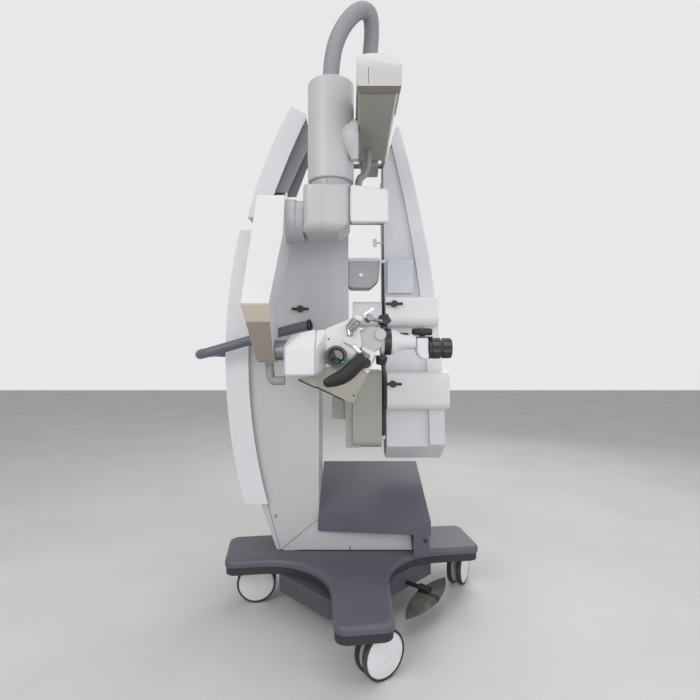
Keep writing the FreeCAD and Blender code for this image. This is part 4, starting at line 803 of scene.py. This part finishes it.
tread_shares = [math.sin(math.pi / 2 * step / 16) for step in range(-16, 17)]
tread = ringed("pedal_tread", pedal_rings(tread_shares, 0, 0.7), "pedal_rubber", "pedal")
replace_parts(tread, "brake_pedal")
ringed("pedal_strap", pedal_rings([0.0, 0.02, 0.1, 0.12], 1.8, 0), "black_rubber", "pedal")
PEDAL_PIN = V((262, -215, 104))
lathe("pedal_shaft_form", [(0, 0), (8, 0), (8, 125), (0, 125)], PEDAL_PIN - pedal_side * 133, pedal_side,
      "black_metal", "pedal", 32)
lathe("pedal_hub_form", [(0, 0), (13, 0), (14, 1), (14, 43), (13, 44), (0, 44)], PEDAL_PIN - pedal_side * 30,
      pedal_side, "black_plastic", "pedal", 32)
slab("pedal_fork", (247, -231, 92), (271, -203, 106), "black_plastic", "pedal", 2,
     Matrix.Rotation(math.radians(-39), 3, "Z"))


# The drive housing and the optics body: moulded white covers, a beige lower plate, a round head

TUBE_Y = -404
TUBE_Z = 1014
EYE_Z = 993
HOUSING_FRONT = -505
HOUSING_MIDDLE = -455
SPLIT_X = -127.5
housing_spots = [(x, HOUSING_FRONT, z) for x in (-221, SPLIT_X) for z in (909, 995)]
housing_spots += [(x, HOUSING_MIDDLE, z) for x, z in ((-232, 903), (SPLIT_X, 903), (SPLIT_X, 1054),
                                                      (-173, 1044), (-202, 1022), (-232, 1000))]
housing_spots += [(x, -346, z) for x in (-224, SPLIT_X) for z in (910, 1036)]
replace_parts(hull("drive_cover", housing_spots, "white_cover", "carrier", 7), "drive_housing")
shoulder_spots = [(SPLIT_X + 0.4, -502, z) for z in (912, 992)]
shoulder_spots += [(x, HOUSING_MIDDLE, z) for x, z in ((SPLIT_X + 0.4, 904), (SPLIT_X + 0.4, 1053),
                                                       (-92, 1055), (-90, 990), (-96, 936), (-113, 914))]
hull("scope_shoulder", shoulder_spots, "white_cover", "scope", 5)
prism("scope_white_cover", [(-98, 932), (-48, 936), (-7, 967), (18, 1000), (10, 1060), (-15, 1089),
                            (-36, 1080), (-98, 1055)], -462, -450, "white_cover", "scope", 4)
prism("scope_edge_band", [(18, 1000), (62, 979), (38, 911), (25, 920), (44, 970), (17, 988)], -458, -451,
      "white_cover", "scope", 2)
prism("scope_lower_edge", [(-127, 871), (-38, 828), (-38, 824), (-127, 866)], -456, -446, "black_plastic",
      "scope", 0.6)
prism("drive_tail", [(-184, 895), (-127.6, 904), (-127.6, 868)], -456, -446, "beige_plate", "carrier", 0.8)
prism("drive_tail_edge", [(-185, 895), (-127.6, 868), (-127.6, 864), (-185, 890)], -457, -446,
      "black_plastic", "carrier", 0.6)
for number, (x, z) in enumerate(((-8, 842), (-88, 1022), (-96, 946))):
    screw("scope_screw_" + str(number), (x, -452 if number == 0 else -462, z), (0, -1, 0), 3.2, "scope",
          "black_metal")

HEAD_X = 47
HEAD_Z = 1022
head = lathe("optics_drum", [(0, -4), (36, -4), (40, -2.5), (42, 1), (42, 100), (0, 100)],
             (HEAD_X, -452, HEAD_Z), (0, 1, 0), "grey_housing", "scope", 72, 50)
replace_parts(head, "optics_head")
lathe("optics_flange", [(20, 0), (44, 0), (46, 2), (46, 10), (44, 12), (20, 12)], (79, TUBE_Y, TUBE_Z),
      (1, 0, 0), "warm_cover", "scope", 72)
ring = lathe("ring_form", [(27, 0), (43, 0), (44.5, 1.5), (44.5, 8), (43, 9), (43, 13), (44.5, 14),
                           (44.5, 20.5), (43, 22), (27, 22)], (91.5, TUBE_Y, TUBE_Z), (1, 0, 0),
             "black_metal", "scope", 96, 35, 48, 0.8)
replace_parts(ring, "clamp_ring")
lathe("ring_post", [(0, 0), (14, 0), (12, 14), (0, 14)], (92, -406, 1056), (0, 0, 1), "black_metal",
      "scope", 32)
lathe("ring_knob", [(0, -15), (17, -15), (21, -12), (22, -8), (22, 8), (21, 12), (16, 15), (0, 16)],
      (92, -410, 1084), (0.15, -1, 0.2), "blue_black", "scope", 90, 45, 5, 5)
lathe("low_knob", [(0, 0), (17, 0), (18.5, 2), (18.5, 14), (15, 28), (13, 30), (0, 30)], (84, -424, 968),
      (-0.15, 0, -1), "black_plastic", "scope", 72, 40, 24, 0.8)


# The observer tube, the ocular head with its disc, and the eyepiece

tube = lathe("observer_form", [(20, 0), (41, 0), (42, 1.5), (42, 6), (37, 15), (29.5, 28), (26, 42),
                               (25, 58), (26, 80), (20, 80)], (114.5, TUBE_Y, TUBE_Z), (1, 0, 0),
             "white_bow", "observer", 64, 35)
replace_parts(tube, "observer_tube")
slab("observer_button", (142, -417, 1033), (172, -391, 1043.5), "black_plastic", "observer", 3.5)
ocular = prism("ocular_form", [(196, 1027), (234, 1027), (236, 958), (218, 956), (203, 966), (196, 986)],
               TUBE_Y - 30, TUBE_Y + 30, "white_bow", "ocular", 6)
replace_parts(ocular, "ocular_head")
slab("ocular_top", (196, -430, 1027), (248, -378, 1031), "black_plastic", "ocular", 1.5)
disc = lathe("disc_form", [(0, 0), (10, 0), (10, 3), (30, 3), (33, 6), (33.5, 10), (33.5, 22), (32, 25),
                           (26, 26.5), (0, 27)], (217, TUBE_Y, 1032), (0, 0, 1), "black_plastic", "disc",
             144, 40, 36, 1.2)
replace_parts(disc, "disc_knob")
barrel = lathe("eyepiece_form", [(20, 0), (33, 0), (34.5, 1.5), (34.5, 6), (32, 7), (32, 9), (34.5, 10),
                                 (34.5, 37), (33, 39), (30, 40), (30, 44), (33, 45), (34, 50), (33, 55),
                                 (34, 60), (33, 66), (33.5, 72), (31, 75), (25, 75), (23, 68), (20, 64)],
               (236.5, TUBE_Y, EYE_Z), (1, 0, 0), "black_metal", "eyecup", 144, 30, 36, 1.0)
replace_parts(barrel, "eyepiece")
lathe("eye_lens", [(0, 0), (21, 0), (21, 2), (12, 4), (0, 5)], (298, TUBE_Y, EYE_Z), (1, 0, 0),
      "lens_glass", "eyecup")


# The linked chrome arm, the lever below it, and the bent grip

def stud(name, middle, axis, radius, long, skin, body):
    """A short round bar with turned edges, about its middle."""
    half = long / 2
    way = V(axis).normalized()
    profile = [(0, 0), (radius - 1, 0), (radius, 1), (radius, long - 1), (radius - 1, long), (0, long)]
    return lathe(name, profile, V(middle) - way * half, way, skin, body, 40, 35)


LINK_Y = -472
stud("link_barrel", (-9, LINK_Y, 1066), (0.62, -0.3, 0.74), 17, 36, "chrome", "scope")
stud("link_sleeve", (7, LINK_Y, 1087), (0.9, -0.2, -0.35), 9, 26, "white_cover", "scope")
stud("link_joint", (40, LINK_Y + 8, 1088), (0.3, -0.9, 0.2), 12, 26, "steel", "scope")
stud("link_bar", (62, LINK_Y + 20, 1083), (1, 0.3, -0.2), 6, 44, "steel", "scope")
stud("link_low", (-21, LINK_Y, 1044), (0.2, -0.3, -1), 10, 26, "chrome", "scope")
blade_turn = Matrix.Rotation(math.radians(-35), 3, "Y")
slab("link_blade", (20, LINK_Y - 3, 1104), (58, LINK_Y, 1113), "chrome", "scope", 1.2, blade_turn)
slab("link_blade_low", (24, LINK_Y + 3, 1094), (50, LINK_Y + 6, 1101), "chrome", "scope", 1.2, blade_turn)
iris = stud("iris_bar", (-23, -466, 1010), (0.9, -0.1, -0.45), 8, 32, "white_cover", "iris_lever")
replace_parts(iris, "chrome_lever")
iris_turn = Matrix.Rotation(math.radians(45), 3, "Y")
slab("iris_plate", (-16, -468, 985), (20, -464, 996), "chrome", "iris_lever", 1.5, iris_turn)

GRIP_POINTS = [(-100, -536, 886), (-69, -538, 895), (-34, -538, 911), (-9, -538, 936), (12, -536, 954),
               (24, -534, 966)]
GRIP_RADII = [12, 19, 22.5, 23.5, 22, 18]
GRIP_STEP = 4
GRIP_CLOSING = 12
grip_line = even(centre_line("grip", GRIP_POINTS), GRIP_STEP * MM)


def grip_radius(index):
    """The bent grip is thickest near its middle and closes at both ends."""
    share = index / (len(grip_line) - 1)
    spot = share * (len(GRIP_RADII) - 1)
    low = min(int(spot), len(GRIP_RADII) - 2)
    radius = GRIP_RADII[low] + (GRIP_RADII[low + 1] - GRIP_RADII[low]) * (spot - low)
    to_end = min(share, 1 - share) * (len(grip_line) - 1) * GRIP_STEP
    closing = min(1.0, (to_end + 1) / GRIP_CLOSING)
    return radius * math.sqrt(1 - (1 - closing) ** 2)


grip = swept("grip_form", grip_line, grip_radius, "grip_rubber", "grip", 32, 60)
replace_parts(grip, "handgrip")
stud("grip_stem", (13, -495, 968), (0, 1, 0), 11, 76, "black_plastic", "grip")
# Two small green studs at the lens's lower right: painted glints of the lens
for number, (x, z) in enumerate(((-42, 950), (-27, 956))):
    stud("lens_glint_" + str(number), (x, -500, z), (1, -0.2, 0.3), 3.5, 11, "green_glint", "scope")
